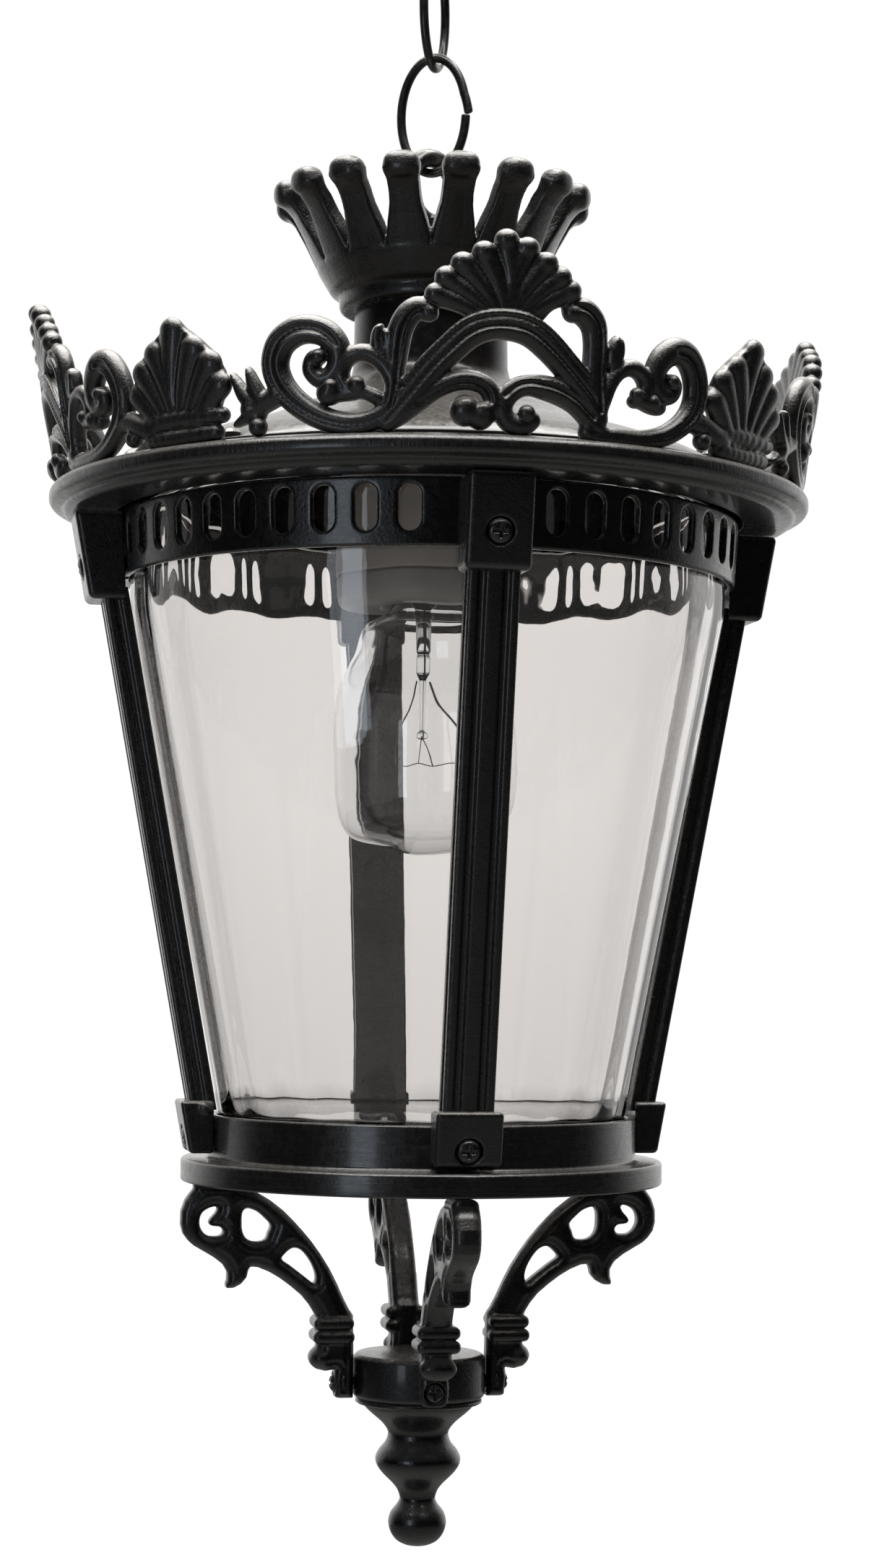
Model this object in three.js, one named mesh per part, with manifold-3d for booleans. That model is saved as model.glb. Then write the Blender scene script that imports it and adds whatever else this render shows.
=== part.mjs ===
// Hanging lantern with a coronet, pierced cresting and a tapered glass.
// It hangs on two chain links and a ceiling hook.
// Millimetres, +Z up. The origin is on the top face of the ceiling plate.
// The whole lantern hangs below it.
// Heights in this file are counted from the level of the rim's top face.
// They are moved down by RIM_DROP at the end.
// Azimuths are counted from -Y (the front) towards +X, in degrees.
// Posts, brackets and crests stand at 0, 90, 180, 270.
import * as THREE from 'three';
import { mergeVertices } from 'three/addons/utils/BufferGeometryUtils.js';
import Module from 'manifold-3d';

const wasm = await Module();
wasm.setup();

// ---- driving dimensions ----
const RIM_DROP = 215;
const GAP = 0.3;
const DEG = Math.PI / 180;
const QUARTERS = [0, 90, 180, 270];

const WIRE = 1.55;
const LINK = { halfWidth: 11.45, halfHeight: 19.75 };
const LINK_TURN = 60.8;
const LOWER_LINK_Z = 127.6;
const UPPER_LINK_Z = 163.7;
const HOOK = { z: 179.6, wire: 2.0, bend: 8.0 };
const LOOP = { topZ: 112.8, ring: 11.0, wire: 3.1, turn: 34.3 };
const ROD = { radius: 5.0, topZ: 92.5, bottomZ: 3.0 };

const CREST = { radius: 121, lean: 9, thickness: 6, footZ: -2 };
const POST = { slope: 0.1875, outerAt: 108.0, atZ: -42, depth: 8.4, width: 16 };
const BAND = { top: -12.3, bottom: -33, outerTop: 103, outerBottom: 101.8, wall: 2.6 };
const SLOT = {
  width: 7, height: 14, z: -21.3, pitch: 7.5, count: 10, firstInQuarter: [11.7, 10.1, 10.1, 8.6],
};
const RING = { wallOuter: 70.4, wallInner: 67.6, top: -207.7, flangeTop: -222, bottom: -229.4, flange: 79.1 };
const HUB = { radius: 21.8, top: -285.5, bottom: -299.8 };

// ---- finishes ----
const finish = {
  black: { color: 0x15161a, roughness: 0.45, metalness: 0.2 },
  roofBlack: { color: 0x17181c, roughness: 0.3, metalness: 0.2 },
  steel: { color: 0x8f9296, roughness: 0.35, metalness: 0.9 },
  brass: { color: 0xb08d45, roughness: 0.35, metalness: 0.9 },
  porcelain: { color: 0xd9d6cf, roughness: 0.25, metalness: 0.0 },
  glass: { color: 0xe8efee, roughness: 0.05, metalness: 0.0 },
  rubber: { color: 0x2a2a2c, roughness: 0.8, metalness: 0.0 },
  plastic: { color: 0xe6e2d8, roughness: 0.5, metalness: 0.0 },
  tungsten: { color: 0x55585c, roughness: 0.4, metalness: 0.8 },
};

const group = new THREE.Group();

function add(name, geometry, finishName) {
  geometry.translate(0, 0, -RIM_DROP);
  geometry.computeVertexNormals();
  const mesh = new THREE.Mesh(geometry, new THREE.MeshStandardMaterial(finish[finishName]));
  mesh.name = name;
  group.add(mesh);
}

// ---- geometry helpers ----
function signedVolume(geometry) {
  const position = geometry.attributes.position;
  const index = geometry.index.array;
  const a = new THREE.Vector3();
  const b = new THREE.Vector3();
  const c = new THREE.Vector3();
  let volume = 0;
  for (let i = 0; i < index.length; i += 3) {
    a.fromBufferAttribute(position, index[i]);
    b.fromBufferAttribute(position, index[i + 1]);
    c.fromBufferAttribute(position, index[i + 2]);
    volume += a.dot(b.cross(c)) / 6;
  }
  return volume;
}

function welded(geometry) {
  geometry.deleteAttribute('normal');
  geometry.deleteAttribute('uv');
  const merged = mergeVertices(geometry, 1e-4);
  const kept = [];
  const index = merged.index.array;
  for (let i = 0; i < index.length; i += 3) {
    const [a, b, c] = [index[i], index[i + 1], index[i + 2]];
    if (a !== b && b !== c && a !== c) kept.push(a, b, c);
  }
  merged.setIndex(kept);
  if (signedVolume(merged) < 0) {
    for (let i = 0; i < kept.length; i += 3) [kept[i], kept[i + 1]] = [kept[i + 1], kept[i]];
    merged.setIndex(kept);
  }
  return merged;
}

function toSolid(geometry) {
  const shape = welded(geometry.clone());
  return new wasm.Manifold(new wasm.Mesh({
    numProp: 3,
    vertProperties: new Float32Array(shape.attributes.position.array),
    triVerts: new Uint32Array(shape.index.array),
  }));
}

function fromSolid(solid) {
  const mesh = solid.getMesh();
  const geometry = new THREE.BufferGeometry();
  geometry.setAttribute('position', new THREE.BufferAttribute(new Float32Array(mesh.vertProperties), 3));
  geometry.setIndex(Array.from(mesh.triVerts));
  return geometry;
}

function joined(parts) {
  return fromSolid(parts.map(toSolid).reduce((whole, part) => whole.add(part)));
}

function cut(geometry, tools) {
  return fromSolid(tools.map(toSolid).reduce((whole, tool) => whole.subtract(tool), toSolid(geometry)));
}

// A profile of [radius, height] pairs turned about Z. It starts and ends on the axis, or is closed on itself.
function turned(profile, segments = 20) {
  const onAxis = profile[0][0] === 0 && profile[profile.length - 1][0] === 0;
  const points = onAxis ? profile : [...profile, profile[0]];
  const lathe = new THREE.LatheGeometry(points.map(([r, z]) => new THREE.Vector2(r, z)), segments);
  lathe.rotateX(90 * DEG);
  return welded(lathe);
}

function loopOf(points, clockwise) {
  const loop = points.map(([x, y]) => new THREE.Vector2(x, y));
  return THREE.ShapeUtils.isClockWise(loop) === clockwise ? loop : loop.reverse();
}

// A flat plate cut to an outline, centred on its own thickness along Z.
function plate(points, holes, thickness) {
  const shape = new THREE.Shape(loopOf(points, false));
  for (const hole of holes) shape.holes.push(new THREE.Path(loopOf(hole, true)));
  const settings = { depth: thickness, bevelEnabled: false, curveSegments: 6 };
  const geometry = new THREE.ExtrudeGeometry(shape, settings);
  geometry.translate(0, 0, -thickness / 2);
  return welded(geometry);
}

function circle(radius, count, turn = 0) {
  const points = [];
  for (let i = 0; i < count; i += 1) {
    const angle = (turn + (360 * i) / count) * DEG;
    points.push([radius * Math.cos(angle), radius * Math.sin(angle)]);
  }
  return points;
}

function cylinder(radius, zBottom, zTop, sides = 8) {
  const geometry = plate(circle(radius, sides), [], zTop - zBottom);
  geometry.translate(0, 0, (zTop + zBottom) / 2);
  return geometry;
}

// Turns a shape built with its outward side along +X to the given azimuth.
function toAzimuth(geometry, azimuth) {
  geometry.rotateZ((azimuth - 90) * DEG);
  return geometry;
}

function sweptWire(points, radius, steps, sides, closed) {
  const curve = new THREE.CatmullRomCurve3(points.map((p) => new THREE.Vector3(...p)), closed, 'centripetal');
  const section = new THREE.Shape(loopOf(circle(radius, sides), false));
  return welded(new THREE.ExtrudeGeometry(section, { steps, extrudePath: curve, bevelEnabled: false }));
}

// ---- chain, hook and ceiling plate ----
function chainLink(z, turn, openFrom, openTo) {
  const points = [];
  const count = 24;
  for (let i = 0; i <= count; i += 1) {
    const angle = (openTo + ((360 + openFrom - openTo) * i) / count) * DEG;
    points.push([LINK.halfWidth * Math.cos(angle), 0, LINK.halfHeight * Math.sin(angle)]);
  }
  const closed = openFrom === openTo;
  if (closed) points.pop();
  const link = sweptWire(points, WIRE, 28, 6, closed);
  link.rotateZ(turn * DEG);
  link.translate(0, 0, z);
  return link;
}

const ceilingPlate = cut(
  turned([[0, 215], [35, 215], [35, 212.5], [32, 211], [9, 209], [8, 206], [0, 206]], 32),
  [cylinder(2.3, 200, 220).translate(23, 0, 0), cylinder(2.3, 200, 220).translate(-23, 0, 0)],
);
add('ceiling_plate', ceilingPlate, 'black');

for (const [number, x] of [[1, 23], [2, -23]]) {
  const profile = [[0, 206.4], [2.4, 206.6], [3.9, 207.8], [3.9, 209.6], [2, 209.6], [2, 214.6], [0, 214.6]];
  const screw = turned(profile, 12);
  screw.translate(x, 0, 0);
  add(`ceiling_screw_${number}`, screw, 'steel');
}

const hookPath = [
  [0, 0, 205.6], [0, 0, 199.5], [3, 0, 195.5], [6.8, 0, 191.8],
  [HOOK.bend, 0, HOOK.z + HOOK.bend], [5.7, 0, HOOK.z + 2.3], [0, 0, HOOK.z],
  [-5.7, 0, HOOK.z + 2.3], [-HOOK.bend, 0, HOOK.z + HOOK.bend], [-7.4, 0, 191.5],
];
const hook = sweptWire(hookPath, HOOK.wire, 22, 8, false);
hook.rotateZ((LINK_TURN - 90) * DEG);
add('ceiling_hook', hook, 'black');

add('chain_link_upper', chainLink(UPPER_LINK_Z, LINK_TURN, 0, 0), 'black');
add('chain_link_lower', chainLink(LOWER_LINK_Z, LINK_TURN - 90, -3.5, 1.5), 'black');

// ---- suspension loop with its shouldered rod, and the nut that clamps it under the neck ----
const loopRing = new THREE.TorusGeometry(LOOP.ring, LOOP.wire, 8, 20);
loopRing.rotateX(90 * DEG);
loopRing.rotateZ(LOOP.turn * DEG);
loopRing.translate(0, 0, LOOP.topZ - LOOP.ring);
const rod = turned([
  [0, ROD.topZ], [ROD.radius, ROD.topZ - 1], [ROD.radius, 76], [8.6, 75.2], [9.2, 74.2], [9.2, 70.3],
  [ROD.radius, 70.3], [ROD.radius, ROD.bottomZ], [0, ROD.bottomZ],
], 16);
add('suspension_loop', joined([loopRing, rod]), 'black');

const NUT = { cornerRadius: 9.8, bottom: 51.2, top: 57.2 };
const neckNut = plate(circle(NUT.cornerRadius, 6), [circle(ROD.radius + GAP, 16)], NUT.top - NUT.bottom);
neckNut.translate(0, 0, (NUT.top + NUT.bottom) / 2);
add('neck_nut', neckNut, 'steel');

// ---- coronet ----
const coronetCup = turned([
  [ROD.radius + 0.4, 59.9], [30.4, 59.9], [30.4, 65.4], [33, 65.6], [33.6, 66.4], [40.9, 80],
  [35.2, 80], [29.6, 70], [ROD.radius + 0.4, 70],
], 16);
const prongOutline = [
  [-6.8, -7], [6.8, -7], [7.4, 3], [5.1, 20], [6.0, 26], [3.6, 31.2], [-3.6, 31.2], [-6.0, 26], [-5.1, 20],
  [-7.4, 3],
];
const PRONG_LEAN = 28.5;
function prong(azimuth) {
  const blade = plate(prongOutline, [], 5.4);
  blade.rotateZ(90 * DEG);
  blade.rotateY((90 + PRONG_LEAN) * DEG);
  blade.translate(35.4, 0, 74);
  return toAzimuth(blade, azimuth);
}
const prongs = [];
for (let i = 0; i < 16; i += 1) prongs.push(prong(i * 22.5));
const coronet = cut(joined([coronetCup, ...prongs]), [
  cylinder(3.3, 50, 80).translate(13, 13, 0),
]);
add('coronet', coronet, 'black');

// ---- roof ----
const roofShell = turned([
  [ROD.radius + 0.4, 59.5], [25.7, 59.5], [25.7, 40], [28.5, 35], [35.2, 30.4], [44.7, 26.1], [62.7, 18.8],
  [85, 11.5], [97, 7], [103, 0.8], [111, 0.8], [111, -0.7], [101.5, -0.7], [96.2, 5.2], [84.5, 9.7],
  [62, 17], [44, 24.3], [34, 28.7], [27, 33.8], [24, 39.6], [24, 57.5], [ROD.radius + 0.4, 57.5],
], 24);
const roofScrewHoles = [45, 135, 225, 315].map((azimuth) => toAzimuth(
  cylinder(1.9, -4, 4).translate(107, 0, 0),
  azimuth,
));
add('roof', cut(roofShell, [cylinder(3.3, 50, 64).translate(13, 13, 0), ...roofScrewHoles]), 'roofBlack');

// ---- rim with its moulded edge ----
const rimBody = turned([
  [104.5, -1], [111.5, -1], [123, -3.5], [126, -5.9], [126, -7.5], [124.9, -8.6],
  [122, -9.1], [121, -11.3], [118.5, -12], [104.5, -12],
], 40);
add('rim', cut(rimBody, roofScrewHoles.map((tool) => tool.clone().translate(0, 0, -3))), 'black');
for (const [i, azimuth] of [45, 135, 225, 315].entries()) {
  const screw = turned([[0, 4.0], [2.2, 3.8], [3.4, 2.6], [3.4, 1.1], [1.6, 1.1], [1.6, -6.5], [0, -6.5]], 8);
  screw.translate(107, 0, 0);
  add(`roof_screw_${i + 1}`, toAzimuth(screw, azimuth), 'black');
}

// ---- screws of the posts, square to the sloping faces of their blocks ----
const POST_LEAN = Math.atan(POST.slope) / DEG;
const TOP_SCREW = { radius: 115.3, z: -30.2, length: 14.2 };
const BOTTOM_SCREW = { radius: 78.3, z: -215.3, length: 10.4 };

function alongPostNormal(geometry, place, azimuth) {
  geometry.rotateY(90 * DEG);
  geometry.rotateY(POST_LEAN * DEG);
  geometry.translate(place.radius, 0, place.z);
  return toAzimuth(geometry, azimuth);
}
function postScrew(place, azimuth) {
  const screw = turned([
    [0, 0.9], [2.4, 0.7], [3.9, -0.5], [3.9, -1.6], [2, -1.6], [2, -place.length], [0, -place.length],
  ], 10);
  return alongPostNormal(screw, place, azimuth);
}
function postScrewHole(place, azimuth) {
  return alongPostNormal(cylinder(2.4, -place.length - 4, 4), place, azimuth);
}
function postCounterbore(place, azimuth) {
  return alongPostNormal(cylinder(4.3, -1.9, 8, 12), place, azimuth);
}

// ---- ventilated band ----
const bandShell = turned([
  [BAND.outerTop - BAND.wall, BAND.top], [BAND.outerTop, BAND.top],
  [BAND.outerBottom, BAND.bottom], [BAND.outerBottom - BAND.wall, BAND.bottom],
], 48);
function slotTool(azimuth) {
  const r = SLOT.width / 2;
  const straight = SLOT.height / 2 - r;
  const points = [];
  for (const end of [0, 1]) {
    for (let i = 0; i <= 3; i += 1) {
      const angle = (180 * end + 60 * i) * DEG;
      points.push([r * Math.cos(angle), straight * (1 - 2 * end) + r * Math.sin(angle)]);
    }
  }
  const tool = plate(points, [], 12);
  tool.rotateX(90 * DEG);
  tool.rotateZ(90 * DEG);
  tool.translate(BAND.outerTop, 0, SLOT.z);
  return toAzimuth(tool, azimuth);
}
const bandTools = QUARTERS.map((azimuth) => postScrewHole(TOP_SCREW, azimuth));
for (let quarter = 0; quarter < 4; quarter += 1) {
  for (let i = 0; i < SLOT.count; i += 1) {
    bandTools.push(slotTool(90 * quarter + SLOT.firstInQuarter[quarter] + SLOT.pitch * i));
  }
}
add('vent_band', cut(bandShell, bandTools), 'black');

// ---- cresting: four alike curved castings ----
const crestOutline = [
  [-57, -0.5], [-62, 2.5], [-68, 5.5], [-70.5, 4.5], [-70.3, 1.5], [-72, -0.5], [-76.5, -0.5], [-79, 1.5],
  [-80, 3.5], [-82.8, 3], [-82.6, 6], [-81.5, 9.5], [-81.8, 14], [-82.9, 18.5], [-81.8, 19.8], [-80.3, 17.8],
  [-79.5, 20.2], [-76.5, 20.6], [-74, 18.5], [-72.5, 24], [-70, 29.5], [-66, 33], [-60, 34.7], [-54, 33.8],
  [-49.5, 31], [-46, 26.5], [-39.5, 24], [-39.8, 29], [-38, 31.5], [-35.5, 30.5], [-34, 33], [-31, 37.5],
  [-27, 39.3], [-23, 45], [-20, 48.5], [-16, 51.3], [-10, 55], [-5, 57], [-2.3, 59.3], [1, 57],
  [5, 57], [9, 54], [13, 51.5], [16, 47.5], [19.5, 44], [20.5, 41.5], [25, 40], [28, 35],
  [29.3, 30], [30.5, 27], [31.5, 31], [33.7, 30.5], [34, 24.8], [38, 24.5], [42, 23], [45, 28.5],
  [49.5, 31.8], [55, 33], [60, 31], [64, 26.5], [66.5, 21.5], [69, 24.5], [74, 26], [77.5, 30],
  [82, 32], [87.5, 36.4], [92, 32.5], [98, 31], [102, 27], [104.6, 23.5], [105.5, 20], [104.3, 13],
  [103.4, 8], [102, 3], [99, 0.8], [78, 0.8], [74, 0.5], [70, 1.2], [66, 1], [64, 4],
  [60, 4.8], [57, 3], [52, -0.5], [27, -0.5], [26, 1.5], [24, 5], [19, 7.8], [13, 9.8],
  [8.8, 9.7], [10.3, 4.5], [8, 0.8], [4, -0.3], [0.5, 0.5], [-2, 1.5], [-6, 0], [-11, 0.2],
  [-15, 2.5], [-16, 5.5], [-15.7, 8], [-19, 8.3], [-24, 5.5], [-28, 2.3], [-31, -0.5],
];
const crestHoles = [
  [
    [-60, 26], [-56.5, 25], [-59, 21], [-60.5, 17.5], [-58, 13],
    [-56, 9.5], [-60, 11], [-63.5, 17], [-63.5, 22],
  ],
  [[-28.5, 31], [-23, 31.5], [-17.5, 30], [-19.5, 25], [-25, 19.5], [-29.5, 13], [-29.5, 20]],
  [[-14, 19], [-10, 24], [-5, 26.3], [1, 26.5], [6, 24.5], [9.8, 20.5], [9.5, 18.6], [5, 17.3], [1, 15.3],
    [-2.5, 14.8], [-6, 16.8], [-10, 18.6]],
  [
    [12, 33.5], [13.7, 35.4], [16, 32.5], [19, 30.8], [21.7, 30],
    [22.3, 25], [22, 21.5], [17, 25.5], [11, 31],
  ],
  [[33, 15], [34.5, 15.5], [35, 12], [38, 8.8], [41, 8.3], [40.5, 6.3], [37, 7], [34, 10]],
  [[50.7, 22], [53, 24.2], [57, 23], [58.5, 18], [57.5, 13], [54.5, 10.3], [51.3, 9], [53.5, 12], [55, 15.5],
    [54, 19]],
  [[-48.7, 7.3], [-44, 6], [-39.5, 7.5], [-38.7, 9.3], [-42, 8.6], [-47, 8.6]],
];
// Bends a flat casting round the rim: x runs round, y runs up the leaning face, z is its relief.
function crest(azimuth) {
  const casting = plate(crestOutline, crestHoles, CREST.thickness);
  const position = casting.attributes.position;
  const lean = CREST.lean * DEG;
  for (let i = 0; i < position.count; i += 1) {
    const round = azimuth * DEG + position.getX(i) / CREST.radius;
    const up = position.getY(i);
    const relief = position.getZ(i);
    const radius = CREST.radius + up * Math.sin(lean) + relief * Math.cos(lean);
    position.setXYZ(
      i,
      radius * Math.sin(round),
      -radius * Math.cos(round),
      CREST.footZ + up * Math.cos(lean) - relief * Math.sin(lean),
    );
  }
  return welded(casting);
}
for (const [i, azimuth] of QUARTERS.entries()) add(`cresting_${i + 1}`, crest(azimuth), 'black');

// ---- posts ----
function slopingBar(section, zBottom, zTop) {
  const bar = plate(section, [], zTop - zBottom);
  bar.translate(0, 0, (zTop + zBottom) / 2);
  const position = bar.attributes.position;
  for (let i = 0; i < position.count; i += 1) {
    const z = position.getZ(i);
    position.setX(i, position.getX(i) + POST.outerAt + POST.slope * (z - POST.atZ));
  }
  return bar;
}
function block(inner, outer, width, zBottom, zTop) {
  const chamfer = 1.2;
  return slopingBar([
    [inner, -width / 2], [outer - chamfer, -width / 2], [outer, -width / 2 + chamfer],
    [outer, width / 2 - chamfer], [outer - chamfer, width / 2], [inner, width / 2],
  ], zBottom, zTop);
}
const half = POST.width / 2;
const shaftSection = [
  [-POST.depth, -half], [-5.2, -half], [-4.6, -half + 0.9], [-3.2, -half + 0.9], [-2.6, -half], [-0.4, -half],
  [0, -half + 0.4], [0, -4.6], [-1.2, -4.0], [-1.2, -2.9], [0, -2.3], [0, 2.3], [-1.2, 2.9], [-1.2, 4.0],
  [0, 4.6], [0, half - 0.4], [-0.4, half], [-2.6, half], [-3.2, half - 0.9], [-4.6, half - 0.9], [-5.2, half],
  [-POST.depth, half],
];
const bandClearance = toSolid(turned([
  [0, 0], [BAND.outerTop + GAP + 0.7, 0], [BAND.outerTop + GAP, BAND.top],
  [BAND.outerBottom + GAP, BAND.bottom - 0.5], [99.8, -34.2], [99.8, -41.1], [0, -41.1],
], 48));
const ringClearance = toSolid(turned([[0, -190], [RING.wallOuter + GAP, -190], [RING.wallOuter + GAP, -230],
  [0, -230]], 36));
function post(azimuth) {
  const body = joined([
    slopingBar(shaftSection, -205, -38),
    block(-14, 5.0, 20.5, -41, -12.3),
    block(-8.4, 3.2, 21, -219.8, -203.2),
  ]);
  let solid = toSolid(toAzimuth(body, azimuth));
  solid = solid.subtract(bandClearance).subtract(ringClearance);
  for (const place of [TOP_SCREW, BOTTOM_SCREW]) {
    solid = solid.subtract(toSolid(postScrewHole(place, azimuth)));
    solid = solid.subtract(toSolid(postCounterbore(place, azimuth)));
  }
  return fromSolid(solid);
}
for (const [i, azimuth] of QUARTERS.entries()) {
  add(`post_${i + 1}`, post(azimuth), 'black');
  add(`post_screw_top_${i + 1}`, postScrew(TOP_SCREW, azimuth), 'black');
  add(`post_screw_bottom_${i + 1}`, postScrew(BOTTOM_SCREW, azimuth), 'black');
}

// ---- lower ring, glass seat, gasket and glass ----
const BRACKET_SCREW_RADIUS = 62.6;
const ringBody = turned([
  [52, RING.bottom], [RING.flange, RING.bottom], [RING.flange, RING.flangeTop], [71.2, RING.flangeTop],
  [RING.wallOuter, RING.flangeTop + 0.8], [RING.wallOuter, RING.top], [RING.wallInner, RING.top],
  [RING.wallInner, -226], [52, -226],
], 36);
const ringTools = QUARTERS.flatMap((azimuth) => [
  postScrewHole(BOTTOM_SCREW, azimuth),
  toAzimuth(cylinder(2.3, -235, -222).translate(BRACKET_SCREW_RADIUS, 0, 0), azimuth),
]);
add('lower_ring', cut(ringBody, ringTools), 'black');

const seatProfile = [
  [58, -225.7], [66.8, -225.7], [66.8, -219.8], [64.4, -218.8], [64.4, -214.6], [58, -214.6],
];
const seatBody = turned(seatProfile, 28);
const seatPockets = QUARTERS.map((azimuth) => toAzimuth(
  cylinder(4.3, -230, -222.6).translate(BRACKET_SCREW_RADIUS, 0, 0),
  azimuth,
));
add('glass_seat', cut(seatBody, seatPockets), 'black');
add('glass_gasket', turned([[58.5, -214.3], [64.2, -214.3], [64.2, -212.3], [58.5, -212.3]], 28), 'rubber');

add('glass', turned([
  [0, -212], [63.5, -212], [66.4, -210.4], [98.3, -44], [98.6, -9], [97.4, -8], [95.8, -9],
  [95.1, -44.6], [63.3, -207.2], [61.5, -208], [0, -208],
], 32), 'glass');

// ---- scroll brackets ----
const bracketOutline = [
  [75.5, -229.7], [78.2, -235.2], [79.4, -240], [79.2, -244], [77, -248.3], [73, -251.2], [68.4, -253.9],
  [65, -256.8], [64, -260], [64.3, -264], [61.5, -263.8], [58.5, -261.8], [56.9, -258.5], [56, -257],
  [50.3, -258.7], [43, -263.5], [37, -269.4], [34.7, -273.2], [34.2, -282.6], [36.4, -286.2], [35, -289.6],
  [31.5, -290.6], [28.3, -290.2], [28.8, -293.5], [28.3, -299.7], [22.1, -299.7], [22.1, -282.8],
  [22.4, -273.2], [23.8, -270.9], [27.9, -262.5], [33.5, -252.9], [39.7, -245.1], [45.8, -238.9],
  [50.1, -235.6], [54.3, -233.1], [60.5, -229.7],
];
const bracketHoles = [
  [[67.5, -237.6], [72.2, -239.3], [73.1, -243.5], [70, -247], [66.2, -246.6], [66.5, -244.2], [69.6, -243.3],
    [69.2, -240.8]],
  [[58.2, -238.2], [59.4, -240.5], [59.2, -245.6], [57, -248.5], [52.9, -248.8], [50.9, -246.5], [50, -243.6],
    [54.2, -239.4]],
  [[42.3, -251], [46.2, -254.6], [40.1, -259.1], [35.5, -262.5], [35.2, -258.9], [38.6, -252.9]],
];
const collarOutline = [
  [22.1, -273.4], [36.1, -273.4], [36.1, -277.2], [35.2, -278], [36.1, -278.8], [36.1, -282], [22.1, -282],
  [22.1, -278.8], [22.9, -278], [22.1, -277.2],
];
function upright(geometry) {
  geometry.rotateX(90 * DEG);
  return geometry;
}
function bracket(azimuth) {
  const body = joined([
    upright(plate(bracketOutline, bracketHoles, 9)),
    upright(plate(collarOutline, [], 13)),
  ]);
  const topHole = cylinder(2.3, -239, -228).translate(BRACKET_SCREW_RADIUS, 0, 0);
  const tabHole = cylinder(2.3, -10, 10).rotateY(90 * DEG).translate(25, 0, -295);
  return toAzimuth(cut(body, [topHole, tabHole]), azimuth);
}
for (const [i, azimuth] of QUARTERS.entries()) {
  add(`bracket_${i + 1}`, bracket(azimuth), 'black');
  const topProfile = [
    [0, -223], [2.2, -223.2], [3.5, -224.2], [3.5, -225.7], [1.9, -225.7], [1.9, -238], [0, -238],
  ];
  const topScrew = turned(topProfile, 8);
  topScrew.translate(BRACKET_SCREW_RADIUS, 0, 0);
  add(`bracket_screw_${i + 1}`, toAzimuth(topScrew, azimuth), 'steel');
  const tabProfile = [[0, 2.4], [2.4, 2.0], [3.6, 0.6], [3.6, GAP], [1.9, GAP], [1.9, -17], [0, -17]];
  const tabScrew = turned(tabProfile, 8);
  tabScrew.rotateY(90 * DEG);
  tabScrew.translate(28.6, 0, -295);
  add(`hub_screw_${i + 1}`, toAzimuth(tabScrew, azimuth), 'black');
}

// ---- hub and finial ----
const hubBody = turned([
  [0, HUB.top], [20.6, HUB.top], [HUB.radius, HUB.top - 1], [HUB.radius, HUB.bottom + 0.6],
  [HUB.radius - 0.6, HUB.bottom], [0, HUB.bottom],
], 32);
const hubTools = QUARTERS.map((azimuth) => toAzimuth(
  cylinder(2.3, -10, 14).rotateY(90 * DEG).translate(20.5, 0, -295),
  azimuth,
));
add('hub', cut(hubBody, [...hubTools, cylinder(4.5, -305, -289.5, 12)]), 'black');
add('finial', turned([
  [0, -290], [4, -290], [4, -300.1], [21, -300.1], [19.6, -302.2], [13, -307.5], [10, -311.5],
  [13.3, -318], [14, -320.2], [13.2, -322.6], [6, -332], [8.9, -337.5], [9.5, -340.2], [8.7, -343.8],
  [6, -346.8], [0, -348.1],
], 18), 'black');

// ---- strap, terminal block, gland and lampholder ----
const strap = cut(plate([[-32, -7], [32, -7], [32, 7], [-32, 7]], [circle(ROD.radius + GAP, 16)], 2)
  .translate(0, 0, 11.6), [cylinder(1.9, 5, 20).translate(-21, 0, 0)]);
add('mounting_strap', strap, 'steel');
add('terminal_block', plate([[-5, -8], [5, -8], [5, 8], [-5, 8]], [], 9).translate(22, 0, 17.4), 'plastic');
add('cable_gland', turned([
  [1.8, 53], [2.9, 53], [2.9, 70.3], [6.2, 70.3], [6.2, 74.5], [4.8, 75.2], [4.2, 79.5], [1.8, 80.5],
], 12).translate(13, 13, 0), 'rubber');
add('lampholder_shroud', turned([
  [ROD.radius + GAP, 10.3], [23, 10.3], [28, 5.5], [28.2, -29.4], [26.4, -29.4], [26.2, 4.5], [22.2, 8.4],
  [ROD.radius + GAP, 8.4],
], 20), 'porcelain');
add('lampholder_base', turned([
  [15.2, -1], [15.2, -29], [17.4, -39.8], [26.2, -39.8], [27.7, -38.2], [28, -29.8], [26, -29.8], [26, -1],
], 20), 'porcelain');
add('lampholder_shell', turned([
  [0, -1.4], [14.9, -1.4], [14.9, -28.6], [14.2, -28.6], [14.2, -2.2], [0, -2.2],
], 20), 'brass');

// ---- lamp ----
add('bulb_cap', turned([
  [0, -5], [3.6, -5], [4.4, -6.2], [9, -8], [13.4, -10.5], [13.4, -29.4], [0, -29.4],
], 20), 'brass');
add('bulb_glass', turned([
  [6.4, -29.8], [13, -29.8], [13, -37.5], [14.9, -41], [21.2, -45.4], [23.3, -55.5], [28.6, -69.5],
  [30.2, -82], [30, -99], [28.2, -109.5], [24, -115.5], [16, -119.5], [0, -122],
  [0, -121], [15.8, -118.4], [23.2, -114.7], [27.2, -109.2], [29, -98.8], [29.2, -82], [27.7, -69.9],
  [22.3, -55.8], [20.4, -46.2], [13.8, -41.6], [12, -37.8], [12, -30.8], [6.4, -30.8],
], 16), 'glass');
add('bulb_stem', turned([
  [0, -29.8], [6, -29.8], [6, -34], [2.6, -42], [2.4, -54.5], [1.8, -55.3], [2.4, -56.4], [2.3, -61.5],
  [1.1, -63.6], [0.8, -80.6], [1.9, -81.4], [1.9, -83], [0, -83.8],
], 12), 'glass');
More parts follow.
